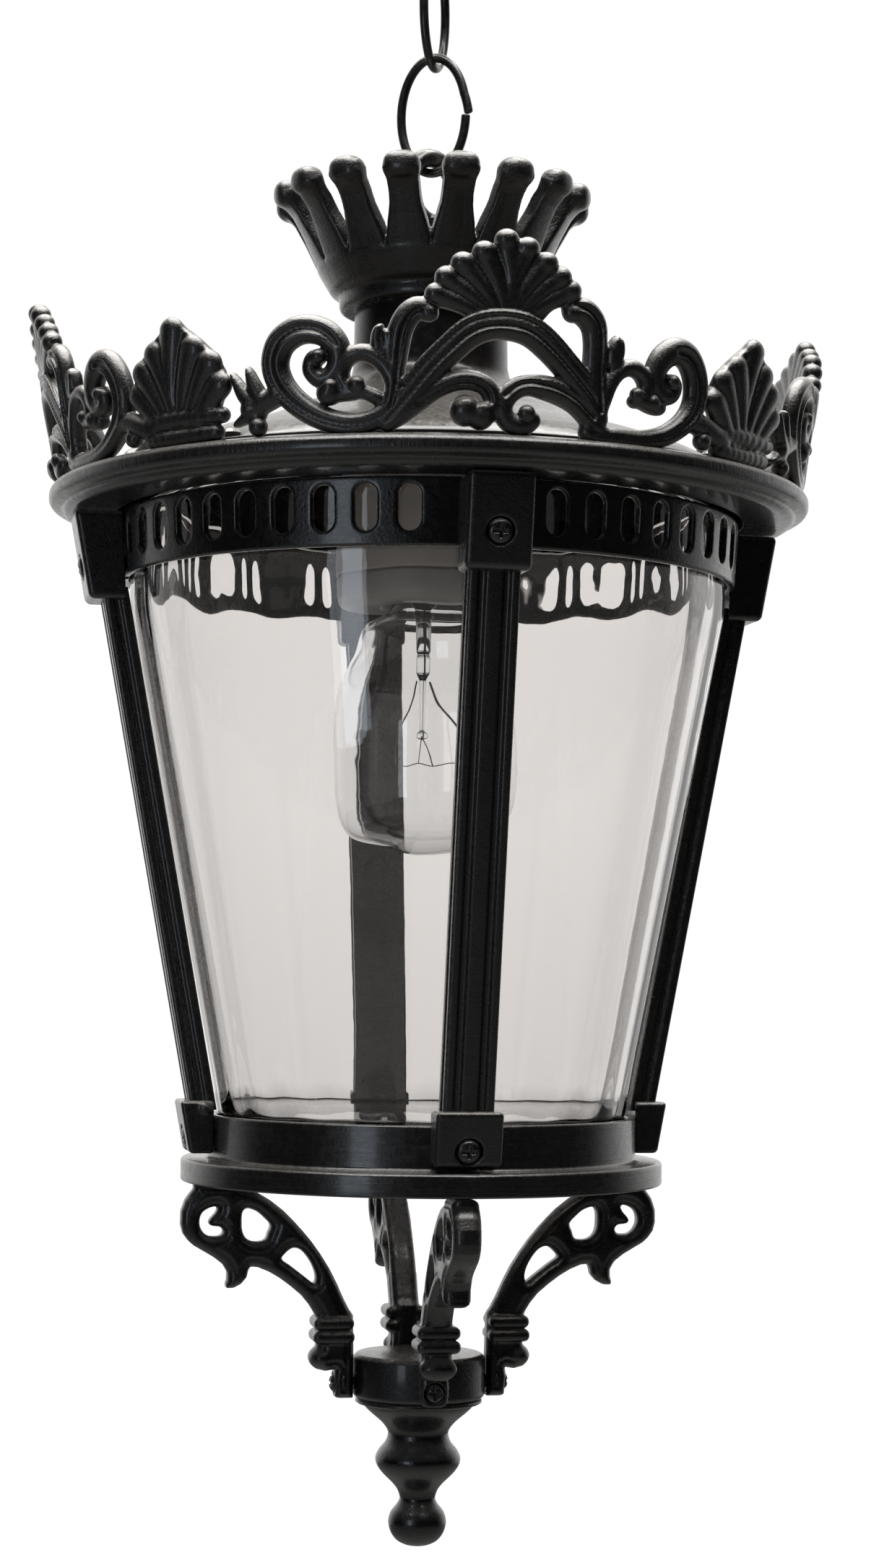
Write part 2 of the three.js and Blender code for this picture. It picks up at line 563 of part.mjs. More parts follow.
const filamentPath = [
  [2.2, 0, -64.5], [4.6, 0, -72], [10.2, 0, -81], [12, 0, -88], [11.4, 0, -92],
  [4, -2, -91.2], [-4, -2, -92], [-11.4, 0, -92.6], [-12, 0, -88], [-10.2, 0, -81],
  [-4.6, 0, -72], [-2.2, 0, -64.5],
];
add('filament', sweptWire(filamentPath, 0.35, 33, 4, false), 'tungsten');

export default group;
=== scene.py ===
"""Hanging lantern: a coronet on a domed roof, pierced cresting, a fluted glass between four posts, and scroll
brackets down to a turned finial. Lengths are millimetres until place() turns them into metres. Heights are
counted from the level of the rim's top face, and azimuths from the front (-Y) towards +X."""

import math

import bpy
import numpy as np
from mathutils import Matrix, Vector


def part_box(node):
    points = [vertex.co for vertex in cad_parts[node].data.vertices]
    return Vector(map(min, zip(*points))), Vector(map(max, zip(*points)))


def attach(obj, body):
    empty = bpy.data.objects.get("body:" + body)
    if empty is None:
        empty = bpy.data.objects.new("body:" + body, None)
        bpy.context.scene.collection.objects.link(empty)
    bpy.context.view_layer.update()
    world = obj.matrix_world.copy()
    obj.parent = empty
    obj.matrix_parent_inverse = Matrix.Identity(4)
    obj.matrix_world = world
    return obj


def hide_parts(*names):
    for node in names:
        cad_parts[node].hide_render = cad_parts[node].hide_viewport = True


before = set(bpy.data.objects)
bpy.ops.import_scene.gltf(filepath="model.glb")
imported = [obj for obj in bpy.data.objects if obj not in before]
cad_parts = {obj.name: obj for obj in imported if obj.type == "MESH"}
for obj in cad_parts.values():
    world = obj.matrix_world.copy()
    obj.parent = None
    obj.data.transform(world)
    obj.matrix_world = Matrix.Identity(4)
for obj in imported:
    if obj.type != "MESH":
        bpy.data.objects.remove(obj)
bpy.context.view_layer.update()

MM = 0.001
RIM_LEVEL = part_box("rim")[1][2] / MM + 1.0
FINE = 1.0
QUARTERS = (0, 90, 180, 270)


# ---------------------------------------------------------------- meshes
def place(name, points, faces, material, replaces, body="lantern", slot="black_paint"):
    """A piece from points in millimetres, riding on a body and standing for a CAD node."""
    points = np.asarray(points, float) + [0, 0, RIM_LEVEL]
    faces = [group for group in faces if len(group)]
    volume = sum(
        np.einsum("ij,ij->i", points[f[:, 0]], np.cross(points[f[:, k]], points[f[:, k + 1]])).sum()
        for f in faces
        for k in range(1, f.shape[1] - 1)
    )
    if volume < 0:
        faces = [f[:, ::-1] for f in faces]
    mesh = bpy.data.meshes.new(name)
    loops = np.concatenate([f.ravel() for f in faces]).astype(np.int32)
    sizes = np.concatenate([np.full(len(f), f.shape[1]) for f in faces])
    mesh.vertices.add(len(points))
    mesh.vertices.foreach_set("co", (points * MM).ravel())
    mesh.loops.add(len(loops))
    mesh.loops.foreach_set("vertex_index", loops)
    mesh.polygons.add(len(sizes))
    mesh.polygons.foreach_set("loop_start", np.concatenate([[0], np.cumsum(sizes)[:-1]]).astype(np.int32))
    mesh.polygons.foreach_set("loop_total", sizes.astype(np.int32))
    mesh.update(calc_edges=True)
    mesh.validate()
    mesh.polygons.foreach_set("use_smooth", np.full(len(mesh.polygons), True))
    mesh.materials.append(material)
    piece = bpy.data.objects.new(name, mesh)
    bpy.context.collection.objects.link(piece)
    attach(piece, body)
    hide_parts(replaces)


def merged(parts):
    """One set of points and faces from several."""
    points, by_size, start = [], {}, 0
    for part_points, part_faces in parts:
        points.append(part_points)
        for group in part_faces:
            if len(group):
                by_size.setdefault(group.shape[1], []).append(group + start)
        start += len(part_points)
    return np.concatenate(points), [np.concatenate(groups) for groups in by_size.values()]


def turn(points, azimuth):
    """Points made with their outward side along -Y, turned to an azimuth."""
    a = math.radians(azimuth)
    x, y, z = points.T
    return np.stack([x * math.cos(a) - y * math.sin(a), x * math.sin(a) + y * math.cos(a), z], 1)


def rounded(profile, radius=0.6, steps=3, closed=False):
    """A profile with its corners turned into small arcs."""
    p = [np.array(q, float) for q in profile]
    n = len(p)
    out = []
    for i in range(n):
        if not closed and i in (0, n - 1):
            out.append(p[i])
            continue
        before, here, after = p[i - 1], p[i], p[(i + 1) % n]
        a, b = before - here, after - here
        la, lb = np.linalg.norm(a), np.linalg.norm(b)
        reach = min(radius, la * 0.45, lb * 0.45)
        start, end = here + a / la * reach, here + b / lb * reach
        for k in range(steps + 1):
            t = k / steps
            out.append((1 - t) ** 2 * start + 2 * t * (1 - t) * here + t * t * end)
    return np.array(out)


def smooth_path(points, steps=4, closed=False):
    """A Catmull-Rom curve through rows of any width."""
    p = np.array(points, float)
    n = len(p)
    if closed:
        p = np.concatenate([p[-1:], p, p[:2]])
    else:
        p = np.concatenate([2 * p[:1] - p[1:2], p, 2 * p[-1:] - p[-2:-1]])
    out = []
    for i in range(1, len(p) - 2):
        a, b, c, d = p[i - 1 : i + 3]
        for k in range(steps):
            t = k / steps
            square, cube = 2 * a - 5 * b + 4 * c - d, 3 * b - a - 3 * c + d
            out.append(0.5 * (2 * b + (c - a) * t + square * t**2 + cube * t**3))
    if not closed:
        out.append(p[-2])
    return np.array(out)


def lathe(profile, around=128, radial=None, closed=False):
    """A profile of (radius, height) turned about Z. radial(angle, radius, height) may reshape it."""
    profile = np.asarray(profile, float)
    angle = np.arange(around) * 2 * math.pi / around
    r, a = np.meshgrid(profile[:, 0], angle, indexing="ij")
    z = np.repeat(profile[:, 1:2], around, 1)
    if radial:
        r = radial(a, r, z)
    points = np.stack([r * np.cos(a), r * np.sin(a), z], 2).reshape(-1, 3)
    rows = len(profile)
    i, j = np.meshgrid(np.arange(rows if closed else rows - 1), np.arange(around), indexing="ij")
    i, j = i.ravel(), j.ravel()
    i2, j2 = (i + 1) % rows, (j + 1) % around
    quads = np.stack([i * around + j, i2 * around + j, i2 * around + j2, i * around + j2], 1)
    area = 0.5 * np.sum(
        profile[:, 0] * np.roll(profile[:, 1], -1) - np.roll(profile[:, 0], -1) * profile[:, 1]
    )
    if area > 0:
        quads = quads[:, ::-1]
    if closed:
        return points, [quads]
    return welded(points, quads)


def welded(points, quads):
    """Joins points that lie together, and turns quads with a repeated corner into triangles."""
    key = np.round(points * 1e4).astype(np.int64)
    _, first, back = np.unique(key, axis=0, return_index=True, return_inverse=True)
    back = back.reshape(-1)
    quads = back[quads]
    same = quads == np.roll(quads, -1, 1)
    whole = quads[~same.any(1)]
    thin = quads[same.sum(1) == 1]
    if len(thin):
        drop = np.argmax(thin == np.roll(thin, -1, 1), 1)
        keep = np.ones(thin.shape, bool)
        keep[np.arange(len(thin)), drop] = False
        thin = thin[keep].reshape(-1, 3)
        return points[first], [whole, thin]
    return points[first], [whole]


def wire(path, radius, sides=14, closed=False):
    """A round wire along a path, with domed ends where it is open."""
    path = np.asarray(path, float)
    n = len(path)
    radius = np.full(n, float(radius))
    if not closed:
        dome = [0.0, 0.4, 0.75, 0.95]
        ahead = (path[0] - path[1]) / np.linalg.norm(path[0] - path[1])
        astern = (path[-1] - path[-2]) / np.linalg.norm(path[-1] - path[-2])
        head = [path[0] + ahead * radius[0] * (1 - d) * 0.6 for d in dome]
        tail = [path[-1] + astern * radius[-1] * (1 - d) * 0.6 for d in dome]
        shrink = np.sqrt(1 - (1 - np.array(dome)) ** 2)
        radius = np.concatenate([radius[0] * shrink, radius, (radius[-1] * shrink)[::-1]])
        path = np.concatenate([head, path, tail[::-1]])
        n = len(path)
    tangent = np.roll(path, -1, 0) - np.roll(path, 1, 0)
    if not closed:
        tangent[0], tangent[-1] = path[1] - path[0], path[-1] - path[-2]
    tangent /= np.linalg.norm(tangent, axis=1)[:, None]
    side = np.cross(tangent[0], [0.31, 0.57, 0.76])
    sides_out = []
    for t in tangent:
        side = side - t * side.dot(t)
        side /= np.linalg.norm(side)
        sides_out.append(side)
    u = np.array(sides_out)
    if closed:
        turned_by = math.atan2(np.dot(np.cross(u[-1], u[0]), tangent[0]), u[-1].dot(u[0]))
        for k in range(n):
            a = turned_by * k / n
            u[k] = u[k] * math.cos(a) + np.cross(tangent[k], u[k]) * math.sin(a)
    v = np.cross(tangent, u)
    a = np.arange(sides) * 2 * math.pi / sides
    ring = np.cos(a)[None, :, None] * u[:, None] + np.sin(a)[None, :, None] * v[:, None]
    points = (path[:, None] + ring * radius[:, None, None]).reshape(-1, 3)
    i, j = np.meshgrid(np.arange(n if closed else n - 1), np.arange(sides), indexing="ij")
    i, j = i.ravel(), j.ravel()
    i2, j2 = (i + 1) % n, (j + 1) % sides
    quads = np.stack([i * sides + j, i * sides + j2, i2 * sides + j2, i2 * sides + j], 1)
    if closed:
        return points, [quads]
    return welded(points, quads)


def turned(name, profile, material, replaces, around, corner, closed=False, body="lantern",
           slot="black_paint"):
    """A piece turned on the lantern's axis from a profile whose corners are rounded."""
    shape = rounded(profile, corner, closed=closed)
    place(name, *lathe(shape, around, closed=closed), material, replaces, body, slot)


# ---------------------------------------------------------------- solid fields
def surface(field, axes, step):
    """The zero surface of a sampled field, negative inside, as quads."""
    inside = field < 0
    shape = np.array(field.shape) - 1
    count = np.zeros(shape, np.int8)
    corners = [(i, j, k) for i in (0, 1) for j in (0, 1) for k in (0, 1)]
    for i, j, k in corners:
        count += inside[i : i + shape[0], j : j + shape[1], k : k + shape[2]]
    active = (count > 0) & (count < 8)
    index = np.full(shape, -1, np.int64)
    index[active] = np.arange(active.sum())
    cells = np.argwhere(active)
    total = np.zeros((len(cells), 3))
    hits = np.zeros(len(cells))
    for axis in range(3):
        along = np.eye(3, dtype=int)[axis]
        for corner in corners:
            if corner[axis]:
                continue
            at = cells + corner
            a = field[tuple(at.T)]
            b = field[tuple((at + along).T)]
            crossed = (a < 0) != (b < 0)
            t = np.where(crossed, a / np.where(crossed, a - b, 1), 0)
            total += np.where(crossed[:, None], at + along * t[:, None], 0)
            hits += crossed
    points = np.array([a[0] for a in axes]) + np.asarray(step) * total / hits[:, None]
    quads = []
    for axis in range(3):
        first, second = [o for o in range(3) if o != axis]
        a = inside.take(range(shape[axis]), axis)
        b = inside.take(range(1, shape[axis] + 1), axis)
        edges = np.argwhere(a != b)
        edges = edges[
            (edges[:, first] > 0)
            & (edges[:, second] > 0)
            & (edges[:, first] < shape[first])
            & (edges[:, second] < shape[second])
        ]
        o1, o2 = np.eye(3, dtype=int)[first], np.eye(3, dtype=int)[second]
        quad = np.stack([index[tuple((edges - o).T)] for o in (0 * o1, o1, o1 + o2, o2)], 1)
        outward = inside[tuple(edges.T)]
        flip = outward if axis != 1 else ~outward
        quad[flip] = quad[flip][:, ::-1]
        quads.append(quad)
    return points, [np.concatenate(quads)[:, ::-1]]


def grid(low, high, step):
    """Sample places of a box, with their axes."""
    step = np.asarray(step, float) * FINE
    axes = [np.arange(low[i], high[i] + step[i], step[i]) for i in range(3)]
    return axes, step


def spread(axes):
    """Three axes shaped so that they combine into a grid."""
    x, y, z = axes
    return x[:, None, None], y[None, :, None], z[None, None, :]


def join(a, b, blend):
    """The union of two fields with a small fillet."""
    h = np.maximum(blend - np.abs(a - b), 0) / blend
    return np.minimum(a, b) - h * h * blend * 0.25


def carve(a, b, blend):
    """Field a without b."""
    return -join(-a, b, blend)


def loop_distance(x, y, loops):
    """Distance to closed outlines, negative inside, where a hole is a loop in a loop."""
    best = np.full(x.shape, 1e9)
    crossings = np.zeros(x.shape, int)
    for points in loops:
        points = np.asarray(points, float)
        for a, b in zip(points, np.roll(points, -1, 0)):
            e = b - a
            t = np.clip(((x - a[0]) * e[0] + (y - a[1]) * e[1]) / max(e.dot(e), 1e-12), 0, 1)
            best = np.minimum(best, (x - a[0] - t * e[0]) ** 2 + (y - a[1] - t * e[1]) ** 2)
            if a[1] != b[1]:
                spans = (a[1] > y) != (b[1] > y)
                crossings += spans & (x < e[0] * (y - a[1]) / e[1] + a[0])
    return np.sqrt(best) * np.where(crossings % 2 == 1, -1, 1)


def slab(flat, across, half, edge):
    """An outline's distance field made into a plate of that half thickness with rounded edges."""
    a, b = flat + edge, np.abs(across) - half + edge
    return np.hypot(np.maximum(a, 0), np.maximum(b, 0)) + np.minimum(np.maximum(a, b), 0) - edge


# ---------------------------------------------------------------- materials
def adder(tree):
    """A helper that adds a node to a tree, with its inputs set or linked."""

    def add(kind, inputs=(), **settings):
        node = tree.nodes.new(kind)
        for key, value in settings.items():
            setattr(node, key, value)
        for key, value in dict(inputs).items():
            if isinstance(value, bpy.types.NodeSocket):
                tree.links.new(value, node.inputs[key])
            else:
                node.inputs[key].default_value = value
        return node

    return add


def nodes_of(name):
    """A new material with its tree, its Principled shader and a helper that adds nodes."""
    material = bpy.data.materials.new(name)
    material.use_nodes = True
    tree = material.node_tree
    return material, tree, tree.nodes["Principled BSDF"], adder(tree)


def noise(add, scale, detail=3.0, roughness=0.55, stretch=None):
    """Noise whose scale is in features to the metre."""
    at = add("ShaderNodeTexCoord").outputs["Object"]
    if stretch:
        at = add("ShaderNodeMapping", {"Vector": at, "Scale": stretch}).outputs[0]
    inputs = {"Vector": at, "Scale": scale, "Detail": detail, "Roughness": roughness}
    return add("ShaderNodeTexNoise", inputs).outputs["Fac"]


def span(add, value, low, high, to_low, to_high, **settings):
    """A value from low to high mapped to a new range, held at its ends."""
    inputs = {"Value": value, "From Min": low, "From Max": high, "To Min": to_low, "To Max": to_high}
    return add("ShaderNodeMapRange", inputs, **settings).outputs[0]


def math_of(add, operation, a, b):
    return add("ShaderNodeMath", {0: a, 1: b}, operation=operation).outputs[0]


def mix(add, factor, a, b):
    """Colour a turning into colour b as the factor rises."""
    node = add("ShaderNodeMix", data_type="RGBA")
    sockets = {
        "Factor": [i for i in node.inputs if i.name == "Factor"][0],
        "A": [i for i in node.inputs if i.name == "A" and i.type == "RGBA"][0],
        "B": [i for i in node.inputs if i.name == "B" and i.type == "RGBA"][0],
    }
    for socket, value in (("Factor", factor), ("A", a), ("B", b)):
        if isinstance(value, bpy.types.NodeSocket):
            node.id_data.links.new(value, sockets[socket])
        else:
            sockets[socket].default_value = value
    return [o for o in node.outputs if o.type == "RGBA"][0]


def bump(add, height, strength, distance, under=None):
    inputs = {"Height": height, "Strength": strength, "Distance": distance}
    if under is not None:
        inputs["Normal"] = under
    return add("ShaderNodeBump", inputs).outputs[0]


WORN_PAINT = (0.03, 0.0285, 0.027, 1)
DUSTY_HOLLOW = (0.012, 0.011, 0.01, 1)
# the pale colour that upward faces turn to: partly settled dust, partly a painted highlight from the light
# above
DUST_AND_PAINTED_HIGHLIGHT = (0.36, 0.34, 0.315, 1)


def black_paint(name, grain=0.5, gloss=0.3, grain_size=0.7, tint=(0.0052, 0.0048, 0.0048), streaks=None,
                dust=0.5, film=0.58, wear=1.0, matt_below=False):
    """Black paint over metal: a sandy skin, thin spots at the edges, dust in the hollows, and a pale film on
    upward faces that is partly dust and partly a painted highlight.
    """
    material, tree, shader, add = nodes_of(name)
    fine = noise(add, 1000 / grain_size, 4.0, 0.6)
    broad = noise(add, 90, 3.0)
    mottle = noise(add, 420, 2.0)
    geometry = add("ShaderNodeNewGeometry")
    edges = geometry.outputs["Pointiness"]
    worn = math_of(add, "MULTIPLY", span(add, edges, 0.53, 0.62, 0.0, 1.0),
                   span(add, mottle, 0.4, 0.66, 0.0, wear))
    hollow = span(add, edges, 0.48, 0.38, 0.0, dust)
    paler = (tint[0] * 1.6, tint[1] * 1.55, tint[2] * 1.5, 1)
    base = mix(add, span(add, broad, 0.35, 0.65, 0.0, 1.0), (*tint, 1), paler)
    base = mix(add, worn, base, WORN_PAINT)
    base = mix(add, hollow, base, DUSTY_HOLLOW)
    # painted highlight: faces turned up are paled by film, partly as settled dust and partly standing in for
    # the highlight of the light above
    upright = add("ShaderNodeSeparateXYZ", {0: geometry.outputs["Normal"]}).outputs["Z"]
    dust_and_highlight_mask = math_of(add, "MULTIPLY", span(add, upright, 0.2, 0.85, 0.0, film),
                      span(add, mottle, 0.3, 0.6, 0.6, 1.0))
    base = mix(add, dust_and_highlight_mask, base, DUST_AND_PAINTED_HIGHLIGHT)
    tree.links.new(base, shader.inputs["Base Color"])
    rough = span(add, mottle, 0.3, 0.7, gloss - 0.05, gloss + 0.11)
    if matt_below:
        rough = math_of(add, "ADD", rough, span(add, upright, -0.05, -0.3, 0.0, 0.6))
        tree.links.new(span(add, upright, -0.05, -0.3, 0.55, 0.05), shader.inputs["Specular IOR Level"])
    else:
        shader.inputs["Specular IOR Level"].default_value = 0.55
        shader.inputs["Coat Weight"].default_value = 0.45
        shader.inputs["Coat Roughness"].default_value = 0.13
    tree.links.new(rough, shader.inputs["Roughness"])
    relief = bump(add, fine, grain, 0.00028)
    if streaks:
        relief = bump(add, noise(add, 1.0, 3.0, 0.6, stretch=streaks), 0.9, 0.00024, relief)
    relief = bump(add, mottle, grain * 0.16, 0.0005, relief)
    tree.links.new(relief, shader.inputs["Normal"])
    return material


def metal(name, colour, rough):
    """Bare or plated metal with fine lines, smudges and a dulled film."""
    material, tree, shader, add = nodes_of(name)
    lines = noise(add, 1.0, 4.0, 0.6, stretch=(600, 600, 4000))
    smudges = span(add, noise(add, 150, 3.0), 0.35, 0.7, 0.0, 0.5)
    base = mix(add, smudges, (*colour, 1), (*(c * 0.55 for c in colour), 1))
    tree.links.new(base, shader.inputs["Base Color"])
    shader.inputs["Metallic"].default_value = 1.0
    tree.links.new(span(add, lines, 0.3, 0.7, rough - 0.08, rough + 0.14), shader.inputs["Roughness"])
    tree.links.new(bump(add, lines, 0.25, 0.0001), shader.inputs["Normal"])
    return material


def moulded(name, colour, shade, rough, grain=0.2, coat=0.0):
    """Plastic, rubber or glazed porcelain."""
    material, tree, shader, add = nodes_of(name)
    fine = noise(add, 2000, 3.0)
    broad = noise(add, 60, 3.0)
    base = mix(add, span(add, broad, 0.35, 0.65, 0.0, 1.0), (*colour, 1), (*shade, 1))
    tree.links.new(base, shader.inputs["Base Color"])
    tree.links.new(span(add, fine, 0.3, 0.7, rough - 0.03, rough + 0.06), shader.inputs["Roughness"])
    shader.inputs["Coat Weight"].default_value = coat
    shader.inputs["Coat Roughness"].default_value = 0.06
    tree.links.new(bump(add, fine, grain, 0.0001), shader.inputs["Normal"])
    return material


def clear_glass(name, colour, wave):
    """Clear glass with a little waviness and specks of dust."""
    material, tree, shader, add = nodes_of(name)
    speck = noise(add, 900, 2.0)
    tree.links.new(span(add, speck, 0.7, 0.85, 0.0, 0.05), shader.inputs["Roughness"])
    shader.inputs["Base Color"].default_value = (*colour, 1)
    shader.inputs["Transmission Weight"].default_value = 1.0
    shader.inputs["IOR"].default_value = 1.5
    tree.links.new(bump(add, noise(add, 70, 2.0), wave, 0.001), shader.inputs["Normal"])
    return material


CAST = black_paint("cast_black", grain=0.85, gloss=0.26)
CAST_SMOOTH = black_paint("cast_smooth_black", grain=0.5, gloss=0.24, grain_size=0.9)
TURNED = black_paint("turned_black", grain=0.25, gloss=0.24, streaks=(30, 30, 1600), film=0.2, wear=0.2)
RIM_PAINT = black_paint("rim_black", grain=0.2, gloss=0.29, streaks=(1500, 1500, 60), film=0.42, wear=0.1)
SPUN = black_paint("spun_black", grain=0.04, gloss=0.2, tint=(0.009, 0.0082, 0.008), dust=0.1, film=0.2,
                   wear=0.2, matt_below=True)
CHAIN = black_paint("chain_black", grain=0.3, gloss=0.3)
STEEL = metal("zinc_steel", (0.62, 0.63, 0.65), 0.3)
BRASS = metal("brass", (0.72, 0.53, 0.24), 0.28)
TUNGSTEN = metal("tungsten", (0.2, 0.19, 0.19), 0.4)
# painted shade: the lampholder's porcelain comes as two copies, the skirt's and the shroud's, each toned for
# the light that reaches that part
PORCELAIN = moulded("porcelain", (0.5, 0.475, 0.44), (0.43, 0.41, 0.38), 0.38, grain=0.08, coat=0.12)
PAINTED_SHADE_PORCELAIN = moulded("painted_shade_porcelain", (0.58, 0.53, 0.475), (0.49, 0.445, 0.4), 0.45, grain=0.08)
RUBBER = moulded("rubber", (0.02, 0.02, 0.021), (0.03, 0.03, 0.03), 0.7, grain=0.4)
PLASTIC = moulded("terminal_plastic", (0.66, 0.64, 0.58), (0.58, 0.56, 0.5), 0.42)
LANTERN_GLASS = clear_glass("lantern_glass", (0.91, 0.892, 0.88), wave=0.04)
BULB_GLASS = clear_glass("bulb_glass", (0.985, 0.99, 0.99), wave=0.02)


# ---------------------------------------------------------------- cresting
CREST = {"radius": 121.0, "foot": -2.0, "lean": 9.0}

# strokes are [u, v, half width]; u runs round the rim and v up the casting
LEFT_SCROLL = [
    (-33, 8.5, 2.7), (-36.5, 4.8, 3.0), (-43, 2.3, 3.3), (-50, 2.7, 3.4), (-57, 5.4, 3.5), (-63, 9.8, 3.7),
    (-67, 15, 3.9), (-68.4, 21, 4.0), (-66, 27, 4.2), (-60, 30.3, 4.2), (-53.5, 29.3, 3.9),
    (-49.5, 25.3, 3.5), (-49, 20.5, 3.1), (-51, 16.8, 2.8), (-54.6, 15.6, 2.6), (-57.2, 18.2, 2.5),
    (-56.6, 21.3, 2.4), (-54.6, 22.2, 2.2),
]
LEFT_SPIRAL = [
    (-32.6, 9, 2.4), (-33.2, 14, 2.5), (-35, 18.6, 2.6), (-38.4, 21.8, 2.6), (-43, 23, 2.4),
    (-46.8, 20.8, 2.2), (-48.2, 17, 2.1), (-47, 13.4, 2.0), (-44.2, 12.6, 2.0),
]
LEFT_LEAF = [
    (-34.2, 7, 2.2), (-33, 13, 2.4), (-32.4, 19, 2.7), (-32, 25, 3.3), (-31, 30, 3.4), (-28.8, 34, 3.4),
    (-26, 35.8, 3.2), (-23.4, 34.6, 2.7),
]
RIGHT_LEAF = [
    (27.5, 8, 3.2), (26.4, 15, 3.3), (25.8, 22, 3.4), (25.6, 28, 3.4), (24.6, 33.4, 3.7), (21.4, 36.8, 3.9),
    (17.8, 37.4, 3.2),
]
ARCH = [
    (-35, 2.5, 3.0), (-31.5, 6.5, 3.4), (-27, 12, 3.9), (-21.5, 18.8, 3.9), (-16.5, 24, 3.9),
    (-11.5, 28.6, 4.0), (-6, 30.8, 3.9), (0, 31, 3.9), (5.5, 29.6, 3.9), (10.5, 26, 3.8), (15.5, 21.3, 3.6),
    (20.5, 16.3, 3.6), (25, 11.5, 3.6), (28, 6, 3.4),
]
UNDER_LEFT = [
    (-32, 4, 2.8), (-26, 8.5, 2.8), (-20.5, 12.4, 2.7), (-15, 14.8, 2.9), (-10, 14.9, 2.9), (-6, 12.8, 2.8),
    (-4.4, 9, 2.7), (-6.2, 5.2, 3.0),
]
UNDER_RIGHT = [
    (29, 1.5, 2.8), (25.5, 5.6, 3.0), (20.5, 9.9, 3.1), (15.5, 12.6, 3.5), (11, 13.9, 3.5), (6, 14.3, 2.9),
    (2.3, 13.2, 2.9), (-0.6, 10.4, 2.9), (-1.4, 6.6, 2.7), (0.6, 3.4, 2.9), (4.4, 2.4, 3.0),
    (7.4, 4.2, 2.8),
]
RIGHT_SCROLL = [
    (25.5, 2, 3.2), (30, 1.2, 2.7), (36, 1.2, 2.7), (43, 1.2, 2.8), (50, 2.6, 3.0), (55.4, 5.2, 3.2),
    (60.2, 9.3, 3.5), (62.6, 14, 3.7), (62.7, 19, 3.8), (61, 24, 3.9), (57.5, 28, 4.0), (53, 29, 4.0),
    (48.9, 26.6, 3.7), (46.5, 22.2, 3.2), (46.8, 17.8, 2.8), (49.5, 15.2, 2.6), (52.8, 15.8, 2.5),
    (53.6, 18.6, 2.4), (51.8, 19.8, 2.2),
]
RIGHT_SPIRAL = [
    (27.5, 7, 2.8), (29.4, 12, 2.5), (31.2, 17, 2.4), (34, 20.8, 2.4), (38, 22.2, 2.4), (41.6, 20.6, 2.3),
    (43.6, 17, 2.1), (42.8, 13.4, 2.0), (40, 12.4, 2.1),
]
PLAIN_STROKES = [
    [(-74, 8, 2.6), (-78.6, 12, 2.3), (-82.2, 18.4, 0.9)],
    [(-72.5, 9, 2.4), (-75.3, 14.5, 2.1), (-76.9, 19.7, 0.9)],
    [(-74.5, 6, 2.4), (-78.6, 5.4, 1.7), (-82.2, 3.6, 0.8)],
    [(-76, 8, 2.8), (-70, 10.5, 3.0), (-66.5, 13, 3.2)],
    [(-36, 21, 1.4), (-37.8, 25.5, 1.7), (-37.8, 29, 1.2), (-36.6, 30.6, 0.7)],
    [(-35.4, 22, 1.2), (-35, 26.5, 1.4), (-35.2, 29, 0.8)],
    [(-51, 11.3, 2.6), (-46, 11.2, 2.2), (-42, 11.5, 2.0), (-37.5, 9.5, 2.2)],
    [(31, 22, 1.5), (31.2, 26.5, 1.8), (32.2, 30.3, 0.9)],
    [(32.4, 22, 1.3), (33.4, 26, 1.4), (33.5, 29.6, 0.8)],
    [(42.5, 12.6, 2.2), (46, 12, 2.6), (49, 11.4, 2.2)],
    [(60.5, 9, 3.0), (66, 8.4, 3.2), (71, 6.6, 3.4), (76.5, 5, 3.2)],
    [(75.5, 1.9, 2.7), (87, 1.7, 2.9), (100.5, 2.1, 2.6)],
    [(75.5, 7, 2.6), (87, 7.3, 2.9), (103, 7.1, 2.5)],
]
# balls are [u, v, radius, lift of the centre]
BALLS = [
    (-77, 8, 3.0, 0.6), (-74.5, 2.5, 2.9, 1.0), (-54.6, 22.2, 2.2, 1.9), (-52, 11.5, 3.9, 0.4),
    (-51.3, 13.2, 2.3, 2.2), (-43.6, 13.8, 2.5, 1.6), (-23.2, 34.3, 2.8, 0.8), (-12.4, 6.1, 4.7, 0.2),
    (-8, 4.7, 4.2, 0.2), (-12.2, 7.6, 2.4, 2.4), (-7.2, 6.4, 2.3, 2.4), (5.5, 6.1, 2.6, 1.8),
    (17.6, 36.2, 2.9, 0.8), (39.8, 14.4, 2.2, 1.6), (45.6, 12.6, 2.6, 1.2), (52, 19.7, 2.2, 1.9),
    (67, 3.7, 2.9, 1.0),
]
GROOVE = (0.3, 0.9)
SHELL_ROOT = (-1.5, 28.0)
SHELL_TIPS = [
    (-24, 41.5), (-20.8, 47), (-15.8, 51.7), (-9.2, 55.4), (-2.3, 59.3), (4.3, 57.2), (10.6, 53),
    (15.4, 48.8), (19, 44.6),
]
PALMETTE_ROOT = (87, -8.0)
PALMETTE_TIPS = [
    (68.9, 19.5), (72.4, 26.4), (79, 31.6), (87.2, 38.0), (95.2, 31.6), (101.6, 26.4), (105.1, 19.5),
]
PALMETTE_PLATE = [
    (76.5, 5), (72, 9.5), (69.6, 14.5), (69.5, 20), (73, 26.2), (79.3, 31.6), (84.4, 35.4), (87.2, 38.2),
    (90, 35.4), (95, 31.6), (101, 26.2), (104.5, 20), (104.4, 14.5), (102, 9.5), (97.5, 5),
]
SHELL_PLATE = [
    (-12, 32.5), (-20.5, 40.5), (-18, 45.4), (-13.6, 49.4), (-7.8, 52.8), (-2.2, 55.8), (3.5, 54.2),
    (9, 50.6), (13.2, 46.6), (16.3, 42.6), (9, 33),
]


